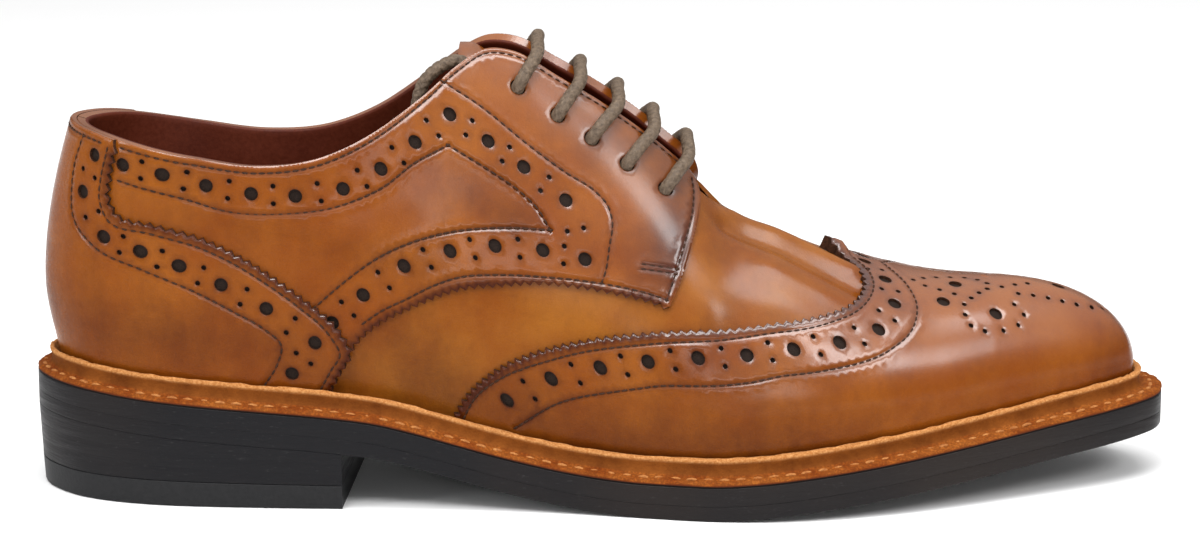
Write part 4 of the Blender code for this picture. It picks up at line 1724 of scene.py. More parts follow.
# Outlines, rows and holes as (along, distance from the ridge) on the outer half of the cap pattern.
WING_EDGE_FLAT = [
    (112.2, -99.1), (117.5, -87.3), (125.4, -76.4), (135.9, -66.8), (146.4, -59.7), (156.8, -54.2),
    (167.2, -50.2), (177.4, -47.0), (190.4, -43.3), (200.8, -40.0), (211.4, -33.9), (216.9, -29.2),
    (220.4, -23.8), (221.9, -18.0), (221.2, -11.5), (217.3, -5.0), (211.5, 0.0),
]
WING_ROW_NEAR = [
    (115.0, -96.9), (119.2, -86.8), (127.0, -77.1), (137.2, -68.6), (147.6, -61.5), (157.9, -56.3),
    (168.2, -52.4), (178.1, -49.3), (190.8, -45.4), (201.6, -42.1), (212.6, -35.6), (218.7, -30.2),
    (222.4, -24.2), (224.0, -17.9), (223.3, -11.0), (220.2, -4.6), (217.6, 0.0),
]
WING_ROW_FAR = [
    (129.3, -90.6), (141.2, -77.6), (156.9, -68.2), (167.0, -63.8), (177.6, -60.8), (193.0, -56.6),
    (211.0, -49.5), (227.1, -39.0), (233.4, -31.1), (235.4, -21.9), (233.6, -13.9), (230.4, -6.4),
    (227.6, 0.0),
]
WING_HOLES = [
    (127.2, -83.8), (138.8, -72.3), (151.7, -64.0), (164.1, -58.3), (177.0, -53.8), (189.6, -50.5),
    (201.7, -47.0), (213.8, -41.3), (224.4, -33.9), (229.3, -23.3), (227.5, -12.8), (222.6, -3.2),
]
MEDALLION_BIG = [(247.1, -8.2), (242.9, -18.0), (257.0, -19.3)]
MEDALLION_TIP = (276.0, 0.0)
MEDALLION_SMALL = [
    (235.5, -9.2), (238.5, -6.6), (242.2, -4.6), (246.2, -3.2), (250.2, -2.7), (253.6, -4.0),
    (238.5, -11.6), (242.4, -12.6), (246.3, -13.8), (255.9, -6.2), (255.6, -9.6), (253.2, -12.0),
    (250.8, -14.8), (248.6, -17.9), (248.5, -21.7), (249.8, -24.9), (253.5, -25.6), (258.9, -23.9),
    (263.7, -20.7), (265.5, -16.8), (262.7, -14.2), (259.9, -7.3), (263.6, -5.2), (267.2, -3.4),
    (264.2, -9.4), (268.4, -8.7), (272.6, -8.1), (276.7, -7.5), (280.9, -6.6), (285.4, -4.9),
    (288.8, -2.2),
]
VAMP_UNDER_QUARTER = [
    (184.4, 0.4), (179.0, -2.4), (170.0, -5.8), (164.0, -17.7), (161.0, -31.7), (157.0, -34.6),
    (146.6, -36.7), (136.0, -40.3), (125.4, -46.1), (114.9, -52.1), (108.0, -57.3), (101.0, -64.0),
    (94.0, -70.6), (84.0, -85.0), (74.0, -97.7), (72.0, -106.6),
]
VAMP_UNDER_WING = [
    (121.0, -92.7), (129.0, -82.0), (139.0, -74.8), (150.0, -67.7), (160.0, -62.9), (171.0, -59.2),
    (181.0, -55.2), (192.0, -51.5), (203.0, -48.0), (216.0, -40.5), (224.5, -33.0), (229.0, -25.0),
    (229.5, -15.0), (226.0, -6.0), (223.0, 0.0),
]

# Darker and paler patches, and folds: middle or line, reach or height, strength or width.
QUARTER_SHADES = [
    ((172.0, 57.0), (9.0, 14.0), 0.55), ((177.0, 68.0), (8.0, 22.0), 0.42),
    ((160.0, 84.0), (18.0, 10.0), 0.3), ((132.0, 60.0), (9.0, 5.0), 0.35),
    ((118.0, 66.0), (14.0, 7.0), 0.22), ((104.0, 42.0), (22.0, 6.0), 0.25),
    ((92.0, 50.0), (10.0, 8.0), -0.15), ((60.0, 46.0), (24.0, 4.0), 0.16),
]
QUARTER_FOLDS = [
    ([(96.0, 52.0), (118.0, 62.0), (138.0, 66.0)], -0.5, 9.0),
    ([(60.0, 44.0), (84.0, 46.0), (104.0, 58.0)], 0.4, 7.0),
]
# Painted shade: the dark patches low on both sides, low at the back and low at the counter's front ends.
# Painted light: the paler patch high on the outer side.
COUNTER_SHADES = [
    ((-38.0, 17.0), (34.0, 9.0), 0.42), ((38.0, 17.0), (34.0, 9.0), 0.42),
    ((0.0, 24.0), (14.0, 22.0), 0.2), ((0.0, 66.0), (34.0, 5.0), 0.1), ((-80.0, 9.0), (10.0, 9.0), 0.2),
    ((80.0, 9.0), (10.0, 9.0), 0.2), ((-30.0, 50.0), (10.0, 6.0), -0.12),
]
# Painted light: the paler patch on top of the toe. Painted shade: the dark bands low on both sides of the
# wing.
WING_SHADES = [
    ((265.0, -8.0), (22.0, 14.0), -0.12), ((300.0, 0.0), (9.0, 34.0), 0.3),
    ((150.0, -86.0), (45.0, 9.0), 0.45), ((205.0, -74.0), (50.0, 9.0), 0.45),
    ((150.0, 84.0), (45.0, 9.0), 0.45), ((205.0, 70.0), (50.0, 9.0), 0.45),
    ((190.0, -58.0), (34.0, 9.0), 0.22), ((226.0, -20.0), (8.0, 22.0), 0.15),
]
VAMP_FOLDS = [
    ([(187.0, -2.0), (197.0, -4.0), (208.0, -6.0), (219.0, -10.0)], 1.5, 3.4),
    ([(186.0, -10.0), (197.0, -12.0), (208.0, -15.0), (221.0, -19.0)], -1.6, 3.6),
    ([(196.0, -22.0), (208.0, -25.0), (219.0, -29.0)], 0.6, 4.0),
    ([(190.0, 5.0), (204.0, 10.0), (216.0, 18.0)], -0.7, 4.0),
    ([(178.0, -40.0), (196.0, -34.0), (210.0, -29.0)], 0.3, 6.0),
]
# Painted shade: the dark patches low on both sides below the quarters, and the thin dark strip along the
# vamp's crease. Painted light: the paler patch on the outer side.
VAMP_SHADES = [
    ((186.0, 0.0), (10.0, 30.0), 0.25), ((184.0, -45.0), (6.0, 16.0), 0.2),
    ((107.0, -88.0), (16.0, 13.0), 0.42), ((107.0, 86.0), (16.0, 13.0), 0.42),
    ((145.0, -66.0), (26.0, 8.0), -0.15), ((203.0, -13.5), (16.0, 2.6), 0.16),
]


class Uppers:
    """The leather of the shoe: quarters, counter, wing cap, vamp, lining and their sewing."""

    def __init__(self, last: Last) -> None:
        """Prepares patterns, finishes and threads.

        Args:
            last: The last.
        """
        self.last = last
        self.band = BandPattern(last)
        self.cap = CapPattern(last)
        self.tan = LeatherFinish("calf_tan")
        self.soft = LeatherFinish("calf_vamp", (0.182, 0.045, 0.0034), (0.255, 0.083, 0.0088), gloss=0.4)
        self.thread = Sewing("stitching", THREAD)

    def sew(self, pattern: BandPattern | CapPattern, rows: list[np.ndarray], lift: float) -> None:
        """Adds rows of stitches.

        Args:
            pattern: The pattern they lie on.
            rows: Their lines.
            lift: Height of the thread's middle.
        """
        self.thread.rows += [StitchRow(pattern, row, lift) for row in rows]

    def quarter(self, side: Side) -> LeatherPanel:
        """Lays out one quarter with its facing.

        Args:
            side: The side.

        Returns:
            The panel.
        """
        band = self.band
        front = resample(band.place(side, FACING_FRONT), 1.2)
        lower = band.place(side, QUARTER_LOWER)
        hidden = band.place(side, [(along, PANEL_FOOT) for along in (81.3, 60.0, 30.0, 0.3)])
        seam = band.place(side, [(0.3, girth) for girth in (PANEL_FOOT, 30.0, 66.6)])
        top = band.top(side, 0.3, TOP_LINE_END)
        outline = joined([(front, False), (lower, True), (hidden, False), (seam, False), (top, False)], side)
        rows = [band.place(side, row) for row in QUARTER_ROWS + TACK_ROWS]
        rows.append(band.top(side, 30.0, 177.0, COLLAR_ROW_DROP))
        chains = [band.place(side, chain) for chain in (LOWER_HOLES, FACING_HOLES, COLLAR_HOLES)]
        holes = punched(
            [chains[0], chains[1][:-1], chains[2][:-1]], [between(chain, PAIR_SPREAD) for chain in chains]
        )
        holes.append(Holes(band.eyelets(side), EYELET_HOLE, 18))
        folds = [Fold(band.place(side, line), height, width) for line, height, width in QUARTER_FOLDS]
        shades = [Shade(band.place(side, [at])[0], reach, strength) for at, reach, strength in QUARTER_SHADES]
        self.sew(band, rows, FIRST_LAYER_TOP - THREAD_SUNK)
        return LeatherPanel(
            f"quarter_{side.name.lower()}_leather", band, outline, FIRST_LAYER_TOP, -1.1,
            holes, rows, folds, shades, turned=[top, front], flip=True,
        )

    def counter(self) -> LeatherPanel:
        """Lays out the heel counter, round the back of both sides.

        Returns:
            The panel.
        """
        band = self.band
        fronts = [band.place(side, COUNTER_FRONT) for side in Side]
        bottom = np.vstack([
            band.place(Side.OUTER, [(along, PANEL_FOOT) for along in (81.0, 40.0, 0.0)]),
            band.place(Side.INNER, [(along, PANEL_FOOT) for along in (40.0, 81.0)]),
        ])
        top = np.vstack([band.top(Side.INNER, 0.0, 28.2)[::-1], band.top(Side.OUTER, 0.6, 28.2)])
        outline = joined(
            [(fronts[0], True), (bottom, False), (fronts[1][::-1], True), (top, False)], Side.OUTER
        )
        rows, big, small = [], [], []
        for side in Side:
            rows += [band.place(side, COUNTER_OUTER_ROW), band.place(side, COUNTER_INNER_ROW)]
            big.append(band.place(side, COUNTER_HOLES))
            small.append(between(big[-1], PAIR_SPREAD))
        rows.append(np.vstack([
            band.top(Side.OUTER, 1.0, 24.0, COUNTER_ROW_DROP)[::-1],
            band.top(Side.INNER, 0.6, 24.0, COUNTER_ROW_DROP),
        ]))
        shades = [Shade(*patch) for patch in COUNTER_SHADES]
        self.sew(band, rows, SECOND_LAYER_TOP - THREAD_SUNK)
        return LeatherPanel(
            "counter_leather", band, outline, SECOND_LAYER_TOP, 1.4,
            punched(big, small), rows, [], shades, turned=[top], flip=True,
        )

    def wing(self) -> LeatherPanel:
        """Lays out the wing cap over both sides of the toe.

        Returns:
            The panel.
        """
        cap = self.cap
        edges = [resample(cap.place(side, WING_EDGE_FLAT), 1.0) for side in Side]
        edge = np.vstack([edges[1], edges[0][-2::-1]])
        feet = [cap.foot_line(side, WING_START, PANEL_FOOT) for side in Side]
        outline = joined([(feet[0], False), (feet[1][::-1], False), (edge, True)], Side.OUTER)
        rows, big, small = [], [np.array([MEDALLION_TIP])], []
        for side in Side:
            rows += [cap.place(side, WING_ROW_NEAR), cap.place(side, WING_ROW_FAR)]
            chain = cap.place(side, WING_HOLES)
            big += [chain, cap.place(side, MEDALLION_BIG)]
            small += [between(chain, PAIR_SPREAD), cap.place(side, MEDALLION_SMALL)]
        tip = Fold([(208.0, 0.0), (215.0, 0.0)], 2.6, 3.0)
        shades = [Shade(*patch) for patch in WING_SHADES]
        self.sew(cap, rows, FIRST_LAYER_TOP - THREAD_SUNK)
        return LeatherPanel(
            "wing_cap_leather", cap, outline, FIRST_LAYER_TOP, 0.1, punched(big, small), rows, [tip], shades
        )

    def vamp(self) -> LeatherPanel:
        """Lays out the vamp, whose hidden edges run under quarters and wing cap.

        Returns:
            The panel.
        """
        cap = self.cap
        lines = []
        for side in Side:
            upper, wing = (
                resample(cap.place(side, line), 1.5) for line in (VAMP_UNDER_QUARTER, VAMP_UNDER_WING)
            )
            foot = cap.foot_line(side, VAMP_START, VAMP_FOOT)
            lines.append(np.vstack([upper, foot[foot[:, 0] < VAMP_FOOT_END], wing]))
        outline = np.vstack([lines[0], lines[1][::-1][1:]])
        gap = np.linalg.norm(outline - np.roll(outline, 1, axis=0), axis=1)
        outline = outline[gap > 0.3]
        folds = [Fold(*crease) for crease in VAMP_FOLDS]
        shades = [Shade(*patch) for patch in VAMP_SHADES]
        return LeatherPanel(
            "vamp_leather", cap, outline, 0.0, -1.0, [], [], folds, shades,
            edge_shade=0.0, roll=0.0, turned=[outline],
        )

    def lining(self) -> Object:
        """Makes the lining of the collar and the sides, as one sheet round the heel.

        Returns:
            The finished object.
        """
        last = self.last
        across = np.linspace(0.6, LINING_END, 150)
        across = np.concatenate([-np.linspace(LINING_END, 0.6, 150), across])
        shares = np.concatenate([np.linspace(0.03, 0.97, 26), (0.99, 1.0, 1.0, 1.0)])
        lifts = np.concatenate([np.full(27, LINING_DEPTH), (-1.8, -1.3, -1.0)])
        points = []
        for share, lift in zip(shares, lifts):
            lines = []
            for side, own in ((Side.OUTER, across < 0), (Side.INNER, across > 0)):
                station = np.interp(np.abs(across[own]), last.arc[0], last.stations)
                reach = np.interp(station, last.stations, last.arc[side.value])
                lines.append(np.stack([np.sign(across[own]) * reach, share * last.length(side, station)], -1))
            points.append(self.band.wrap(np.vstack(lines), lift))
        faces = grid_faces(len(points), len(across), closed=False)
        return mesh_object("collar_lining", np.vstack(points), faces, LINING.material(), flip=True)

    def toe_lining(self) -> Object:
        """Makes the inside of the fore part.

        Returns:
            The finished object.
        """
        station = np.linspace(float(self.last.station(np.array(TOE_LINING_START))), 1, 60)
        shares = np.linspace(0.03, 1.0, 20)
        rows = []
        for side, order in ((Side.OUTER, 1), (Side.INNER, -1)):
            for share in shares[::order]:
                rows.append(self.last.wrap(side, station, np.full(60, share), np.full(60, LINING_DEPTH)))
        faces = grid_faces(len(rows), 60, closed=False, turned=True)
        return mesh_object("toe_lining", np.vstack(rows), faces, LINING.material(), flip=True)


@dataclass
class Bottom:
    """Outsole, midsole, heel stack and top lift, with their waxed edges."""

    plan: SolePlan
    stations: int = 150

    def layer(
        self, name: str, profile: Profile, finish: Material, outer: np.ndarray, inner: np.ndarray
    ) -> Object:
        """Lofts one layer between its two edges.

        Args:
            name: The piece's name.
            profile: The edge from the bottom up: (inset function, height function).
            finish: Its material.
            outer: Turns of the outer edge.
            inner: Turns of the inner edge at the same stations.

        Returns:
            The finished object.
        """
        rings = []
        for turns, rows in ((outer, profile), (inner, profile[::-1])):
            for inset, height in rows:
                edge = self.plan.edge(turns, inset(self.plan.outline(turns)[:, 0]))
                rings.append(np.column_stack([edge, height(edge[:, 0])]))
        points = np.stack(rings, 1)
        item = mesh_object(name, points.reshape(-1, 3), tube_faces(*points.shape[:2]), finish)
        face_outward(item.data)
        item.data.set_sharp_from_angle(angle=SHARP_ANGLE)
        return item

    @staticmethod
    def rounded(low: float, high: float, radius: float, above: Curve, top: float) -> Profile:
        """Gives an edge profile with its two corners rounded.

        Args:
            low: Lower height over the base.
            high: Upper height over the base.
            radius: Radius of the lower corner.
            above: The base's height function.
            top: Radius of the upper corner.

        Returns:
            The profile from the bottom up.
        """
        turns = np.array([0.0, 0.35, 0.7, 1.0]) * math.pi / 2
        shares = list(zip((1 - np.sin(turns)).tolist(), (1 - np.cos(turns)).tolist()))
        profile = []
        for back, up in shares:
            profile.append((
                lambda x, back=radius * back: back * np.where(x > HEEL_SEAT_END, 1, 0.2),
                lambda x, up=radius * up: above(x) + low + up,
            ))
        for back, up in shares[::-1]:
            profile.append((
                lambda x, back=top * back: back + 0 * x,
                lambda x, up=top * up: above(x) + high - up,
            ))
        return profile

    def build(self) -> dict[str, Object]:
        """Makes the four layers.

        Returns:
            The pieces by the name of the CAD node that each stands for.
        """
        edge = sole_edge_material()
        share = np.linspace(0, 1, self.stations)
        turns = (1 - np.cos(np.pi * share)) / 2 * 0.25 + share * 0.75
        under = self.plan.underside
        made = {}
        for node, low, high, radius, top in SOLE_LAYERS:
            profile = self.rounded(low, high, radius, under, top)
            made[node] = self.layer(f"{node}_edge", profile, edge, turns, 2 - turns)
        share = np.linspace(0, 1, 80)
        outer = share * self.plan.turn_at(BREAST_OUTER + BREAST_FORWARD)
        inner = 2 - share * self.plan.turn_at(BREAST_INNER + BREAST_FORWARD)

        def taper(x: np.ndarray, depth: float) -> np.ndarray:
            """Gives the inset of the heel at a depth.

            Args:
                x: Distances along.
                depth: Share of the heel's height.

            Returns:
                The insets.
            """
            return HEEL_TAPER * depth * (1 - x / (2 * BREAST_INNER))

        def lift_top(x: np.ndarray) -> np.ndarray:
            """Gives the height of the top lift's upper face.

            Args:
                x: Distances along.

            Returns:
                The heights.
            """
            return LIFT_BACK - LIFT_SLOPE * x

        stack = []
        for n in range(HEEL_LIFTS):
            for part, dent in ((0.0, LIFT_GROOVE), (0.04, 0.0), (0.96, 0.0), (1.0, LIFT_GROOVE)):
                t = (n + part) / HEEL_LIFTS
                stack.append((
                    lambda x, t=t, dent=dent: taper(x, STACK_DEPTH) * (1 - t) + dent,
                    lambda x, t=t: (lift_top(x) + GAP_BELOW) * (1 - t) + (under(x) - GAP_ABOVE) * t,
                ))
        made["heel_stack"] = self.layer("heel_stack_edge", stack, edge, outer, inner)
        lift = [
            (lambda x: taper(x, 1.0) + LIFT_BEVEL, lambda x: 0.0 * x),
            (lambda x: taper(x, 1.0) + LIFT_CORNER, lambda x: 0.0 * x + LIFT_CORNER),
            (lambda x: taper(x, 1.0), lambda x: 0.0 * x + LIFT_BEVEL),
            (lambda x: taper(x, STACK_DEPTH), lambda x: lift_top(x) - LIFT_CORNER),
            (lambda x: taper(x, STACK_DEPTH) + LIFT_CORNER, lift_top),
        ]
        made["heel_top_lift"] = self.layer("heel_top_lift_edge", lift, lift_material(), outer, inner)
        return made


@dataclass
class Welt:
    """The storm welt: a flat strip on the midsole, and a raw-topped rib that stands against the upper."""

    plan: SolePlan
    stations: int = 720
    stitch_pitch: float = 4.3
    stitch_reach: float = 1.55
    stitch_sink: float = 0.42
    stitch_row: float = 0.55

    def build(self) -> Object:
        """Makes the closed ring.

        Returns:
            The finished object.
        """
        turn = np.linspace(0, 2, self.stations, endpoint=False)
        front, back = self.plan.rib(self.plan.outline(turn)[:, 0])
        rng = np.random.default_rng(7)

        def rough(size: float, width: int) -> np.ndarray:
            """Makes smooth noise round the ring.

            Args:
                size: Its largest value, about.
                width: Stations it is smoothed over.

            Returns:
                One value for each station.
            """
            noise = rng.normal(size=self.stations)
            kernel = np.hanning(width + 2)
            ring = np.concatenate([noise[-width:], noise, noise[:width]])
            return np.convolve(ring, kernel / np.sqrt((kernel**2).sum()), "same")[width:-width] * size

        wave = rough(0.10, 40)
        rows = [
            (0.12, MIDSOLE_TOP + 0.1),
            (0.05 + rough(0.05, 9), MIDSOLE_TOP + 0.6),
            (0.10 + rough(0.10, 7), STRIP_TOP - 1.15 + rough(0.10, 7)),
            (0.45 + rough(0.10, 7), STRIP_TOP - 0.75 + rough(0.14, 6)),
            (front * 0.35, STRIP_TOP - 0.45 + rough(0.16, 6)),
            (front * 0.62, STRIP_TOP - 0.30 + rough(0.16, 6)),
            (front - 0.35, STRIP_TOP - 0.35 + rough(0.06, 7)),
            (front + 0.15, STRIP_TOP + 0.15),
            (front + 0.50, STRIP_TOP + 1.1),
            (front + 0.50 + wave, STRIP_TOP + 2.3),
            (front + 0.12 + wave, RIB_TOP - 1.1),
            (front + 0.02 + wave + rough(0.10, 4), RIB_TOP - 0.4 + rough(0.10, 4)),
            (front + 0.4 + wave + rough(0.08, 4), RIB_TOP + rough(0.13, 4)),
            (back - 0.5 + wave, RIB_TOP - 0.02 + rough(0.10, 4)),
            (back - 0.05 + wave, RIB_TOP - 0.35 + rough(0.06, 5)),
            (back, STRIP_TOP + 0.5),
            (back + STRIP_UNDER_UPPER, STRIP_TOP),
            (back + STRIP_UNDER_UPPER, MIDSOLE_TOP + 0.3),
        ]
        rings = []
        for inset, height in rows:
            edge = self.plan.edge(turn, inset)
            rings.append(np.column_stack([edge, self.plan.underside(edge[:, 0]) + height]))
        points = np.stack(rings, 1).reshape(-1, 3)
        size = len(rows)
        faces = np.array(grid_faces(self.stations + 1, size, turned=True)) % len(points)
        item = mesh_object("storm_welt_leather", points, faces.tolist(), welt_material())
        face_outward(item.data)
        set_attribute(item.data, "welt_row", np.tile(np.arange(size) / (size - 1), self.stations))
        return item

    def stitches(self) -> Object:
        """Makes the stitches sunk in the flat strip.

        Returns:
            The finished object.
        """
        turn = np.linspace(0.0, 2.0, 2001)
        edge = self.plan.edge(turn, self.plan.rib(self.plan.outline(turn)[:, 0])[0] * self.stitch_row)
        line = resample(edge, self.stitch_pitch, smooth=False)
        height = self.plan.underside(line[:, 0]) + STRIP_TOP - self.stitch_sink
        place = np.column_stack([line, height])
        up = np.array([0.0, 0.0, 1.0])
        cosine, sine = circle(8).T[..., None]
        pattern = grid_faces(5, 8)
        points, faces = [], []
        for n, (middle, ahead) in enumerate(zip(place, unit(np.gradient(place, axis=0)))):
            ring = cosine * np.cross(up, ahead) * 0.62 + sine * up * 0.42
            for share, width in ((-1, 0.3), (-0.7, 0.9), (0, 1.0), (0.7, 0.9), (1, 0.3)):
                centre = middle + ahead * share * self.stitch_reach - up * (0.35 * share**2)
                points.append(centre + ring * width)
            faces += [tuple(40 * n + corner for corner in face) for face in pattern]
        return mesh_object("welt_stitching", np.vstack(points), faces, WELT_THREAD.material())


def sole_edge_material() -> Material:
    """Makes the black waxed edge of sole and heel.

    Returns:
        The material.
    """
    nodes = Nodes("sole_edge_wax")
    streak = nodes.noise(60, 4, 0.65, (1, 1, 14))
    scuff = nodes.noise(500, 3, 0.7, (1, 1, 3))
    brown = nodes.noise(14, 2, 0.5)
    dark = nodes.blend(nodes.ranged(brown, 0.45, 0.75, 0, 1), (0.0065, 0.0062, 0.0075), (0.018, 0.013, 0.011))
    nodes.feed(
        Base_Color=nodes.blend(nodes.ranged(scuff, 0.62, 0.82, 0, 0.6), dark, (0.05, 0.048, 0.048)),
        Roughness=nodes.ranged(streak, 0.3, 0.7, 0.36, 0.58),
    )
    nodes.set(Coat_Weight=0.03, Coat_Roughness=0.25, Specular_IOR_Level=0.14)
    nodes.bump((streak, 0.00022), (scuff, 0.00006))
    return nodes.material


def lift_material() -> Material:
    """Makes the black rubber of the top lift.

    Returns:
        The material.
    """
    nodes = Nodes("lift_rubber_black")
    grain = nodes.noise(900, 3, 0.6)
    nodes.feed(Base_Color=nodes.blend(grain, (0.010, 0.010, 0.011), (0.022, 0.022, 0.023)))
    nodes.set(Roughness=0.5, Specular_IOR_Level=0.14)
    nodes.bump((grain, 0.00008))
    return nodes.material


def welt_material() -> Material:
    """Makes the welt: orange rough strip, tan rib, pale raw top.

    Returns:
        The material.
    """
    nodes = Nodes("welt_raw_leather")
    row = nodes.attribute("welt_row")
    cloud = nodes.noise(130, 4, 0.65)
    fine = nodes.noise(1500, 3, 0.75)
    strip = nodes.blend(nodes.ranged(cloud, 0.35, 0.7, 0, 1), (0.215, 0.046, 0.005), (0.36, 0.112, 0.018))
    strip = nodes.blend(nodes.ranged(fine, 0.45, 0.62, 0.55, 0), strip, (0.060, 0.012, 0.003))
    rib = nodes.blend(nodes.ranged(cloud, 0.3, 0.7, 0, 1), (0.125, 0.033, 0.005), (0.235, 0.070, 0.011))
    crest = nodes.blend(nodes.ranged(fine, 0.4, 0.65, 0, 1), (0.36, 0.135, 0.035), (0.56, 0.27, 0.10))
    colour = (0.010, 0.007, 0.006)
    under_edge = (0.10, 0.022, 0.006)
    bands = ((0.8, 1.2, under_edge), (1.3, 1.9, strip), (6.4, 7.2, rib), (9.6, 10.6, crest))
    for start, end, after in bands:
        colour = nodes.blend(nodes.ranged(row, start / 17, end / 17, 0, 1), colour, after)
    nodes.feed(Base_Color=colour)
    nodes.set(Roughness=0.72, Specular_IOR_Level=0.06)
    nodes.bump((fine, 0.00022), (cloud, 0.0003))
    return nodes.material


@dataclass
class Lacing:
    """Five lace bars through the eyelets and one loose end, in waxed round cord."""

    last: Last
    radius: float = LACE_RADIUS
    sides: int = 28
    step: float = 0.28
    winding: float = 1.75
    core: float = 0.90
    strand: float = 0.075
    bead: float = 0.03

    def tube(self, name: str, route: np.ndarray) -> Object:
        """Makes a braided cord along a route.

        Args:
            name: The piece's name.
            route: Points that the cord follows.

        Returns:
            The finished object.
        """
        line = resample(route, self.step)
        run = unit(np.gradient(line, axis=0))
        side = np.cross(run[0], (0.0, 0.0, 1.0))
        turn = np.linspace(0, 2 * np.pi, self.sides, endpoint=False)
        rings = []
        for n, (place, ahead) in enumerate(zip(line, run)):
            side = unit(side - ahead * (side @ ahead))
            up = np.cross(ahead, side)
            wind = n * self.step * self.winding
            strands = np.maximum(np.sin(4 * turn + wind * 1.6), np.sin(4 * turn - wind * 1.6))
            bead = 0.5 + 0.5 * np.sin(wind * 3.2 + 2 * np.sin(2 * turn))
            radius = self.radius * (self.core + self.strand * strands + self.bead * bead)
            ring = np.cos(turn)[:, None] * side + np.sin(turn)[:, None] * up
            rings.append(place + ring * radius[:, None])
        return mesh_object(name, np.vstack(rings), tube_faces(len(line), self.sides), LACE_COTTON.material())

    def spot(self, side: Side, along: float, distance: float, lift: float) -> np.ndarray:
        """Finds one point near the facing.

        Args:
            side: The side.
            along: Distance along.
            distance: Distance from the facing's edge.
            lift: Distance out from the last.

        Returns:
            The point.
        """
        station = self.last.station(np.array([along]))
        share = 1 - distance / self.last.length(side, station)
        return self.last.wrap(side, station, share, np.array([lift]))[0]

    def bar(self, number: int, along: float, distance: float, lean: float) -> Object:
        """Makes one bar, out of one hole and into the other.

        Args:
            number: Its number from the top.
            along: Distance along of its holes.
            distance: Distance of the holes from the facing's edge.
            lean: How far it leans to the toe.

        Returns:
            The finished object.
        """
        legs = []
        for side in Side:
            legs.append([
                self.spot(side, along + lean * max(share, 0), distance * (1 - share), lift)
                for share, lift in LACE_LEG
            ])
        middle = (legs[0][-1] + legs[1][-1]) / 2 + (0.5, 0.0, 2.2)
        return self.tube(f"lace_{number}", np.array(legs[0] + [middle] + legs[1][::-1]))

    def loose_end(self) -> tuple[Object, np.ndarray]:
        """Makes the loose end that goes over into the shoe.

        Returns:
            The object and its route in metres.
        """
        start = [self.spot(Side.OUTER, *place, LACE_END_DEPTH) for place in LACE_END_START]
        route = np.vstack([start, LACE_END_ROUTE])
        return self.tube("lace_loose_end", route), (resample(route, 2.0) - PLAN.origin) * MM


@dataclass
class Tongue:
    """The tongue under the facings, whose stitched corner stands over the collar."""

    last: Last

    def build(self, finish: LeatherFinish) -> Object:
        """Makes the tongue with its thickness.

        Args:
            finish: The leather's finish.

        Returns:
            The finished object.
        """
        shares = np.linspace(0, 1, 13)
        rows = []
        for along in np.linspace(TONGUE_TOP, TONGUE_END, 56):
            pushed = float(np.interp(along, (TONGUE_PUSHED_FULL, TONGUE_PUSHED_TO), (TONGUE_PUSHED_IN, 0)))
            dip = float(np.interp(along, (TONGUE_DIPS_FROM, TONGUE_DIPS_FULL), (0, TONGUE_DIP)))
            station = np.full(len(shares), float(self.last.station(np.array(along))))
            row = []
            for side, reach, depth in ((Side.OUTER, 1 - shares, pushed), (Side.INNER, shares, 0)):
                part = 1 - TONGUE_REACH * reach / self.last.length(side, station)
                row.append(self.last.wrap(side, station, part, np.full(len(shares), -3.0 - dip - depth)))
            rows.append(np.vstack(row))
        corner = []
        for t in (1.0, 0.75, 0.5, 0.25):
            corner.append(rows[0] + (-TONGUE_STANDS_OUT * t, 0, TONGUE_RISE * min(1, 2 * t)))
        grid = np.array(corner + rows)
        for _ in range(2):
            grid[:, 1:-1] = (grid[:, :-2] + 2 * grid[:, 1:-1] + grid[:, 2:]) / 4
        faces = grid_faces(*grid.shape[:2], closed=False, turned=True)
        item = mesh_object("tongue_leather", grid.reshape(-1, 3), faces)
        thick = item.modifiers.new("thickness", "SOLIDIFY")
        thick.thickness = 1.7 * MM
        thick.offset = -1.0
        rounding = item.modifiers.new("rounding", "BEVEL")
        rounding.width = 0.4 * MM
        rounding.segments = 2
        bpy.context.view_layer.objects.active = item
        item.select_set(True)
        for modifier in list(item.modifiers):
            bpy.ops.object.modifier_apply(modifier=modifier.name)
        item.data.shade_smooth()
        item.data.set_sharp_from_angle(angle=math.radians(50))
        set_attribute(item.data, "burnish", np.full(len(item.data.vertices), 0.35))
        item.data.materials.append(finish.face())
        return item


# Lights: name, place, aim, width and height in metres, and power in watts.
SOFTBOXES = [
    ("key", (-0.25, -0.8, 1.1), (0, 0, 0.05), (0.6, 0.35), 6.5),
    ("right_fill", (0.9, -0.75, 0.95), (0.1, 0, 0.05), (0.45, 0.45), 6),
    ("front_strip", (0.2, -1.35, 0.33), (0.05, 0, 0.05), (0.9, 0.16), 2.5),
    ("left_strip", (-1.0, -0.5, 0.5), (-0.1, 0, 0.05), (0.2, 0.6), 2.5),
    ("top", (0.1, -0.2, 1.15), (0.05, 0, 0.05), (1.2, 0.45), 10.5),
]


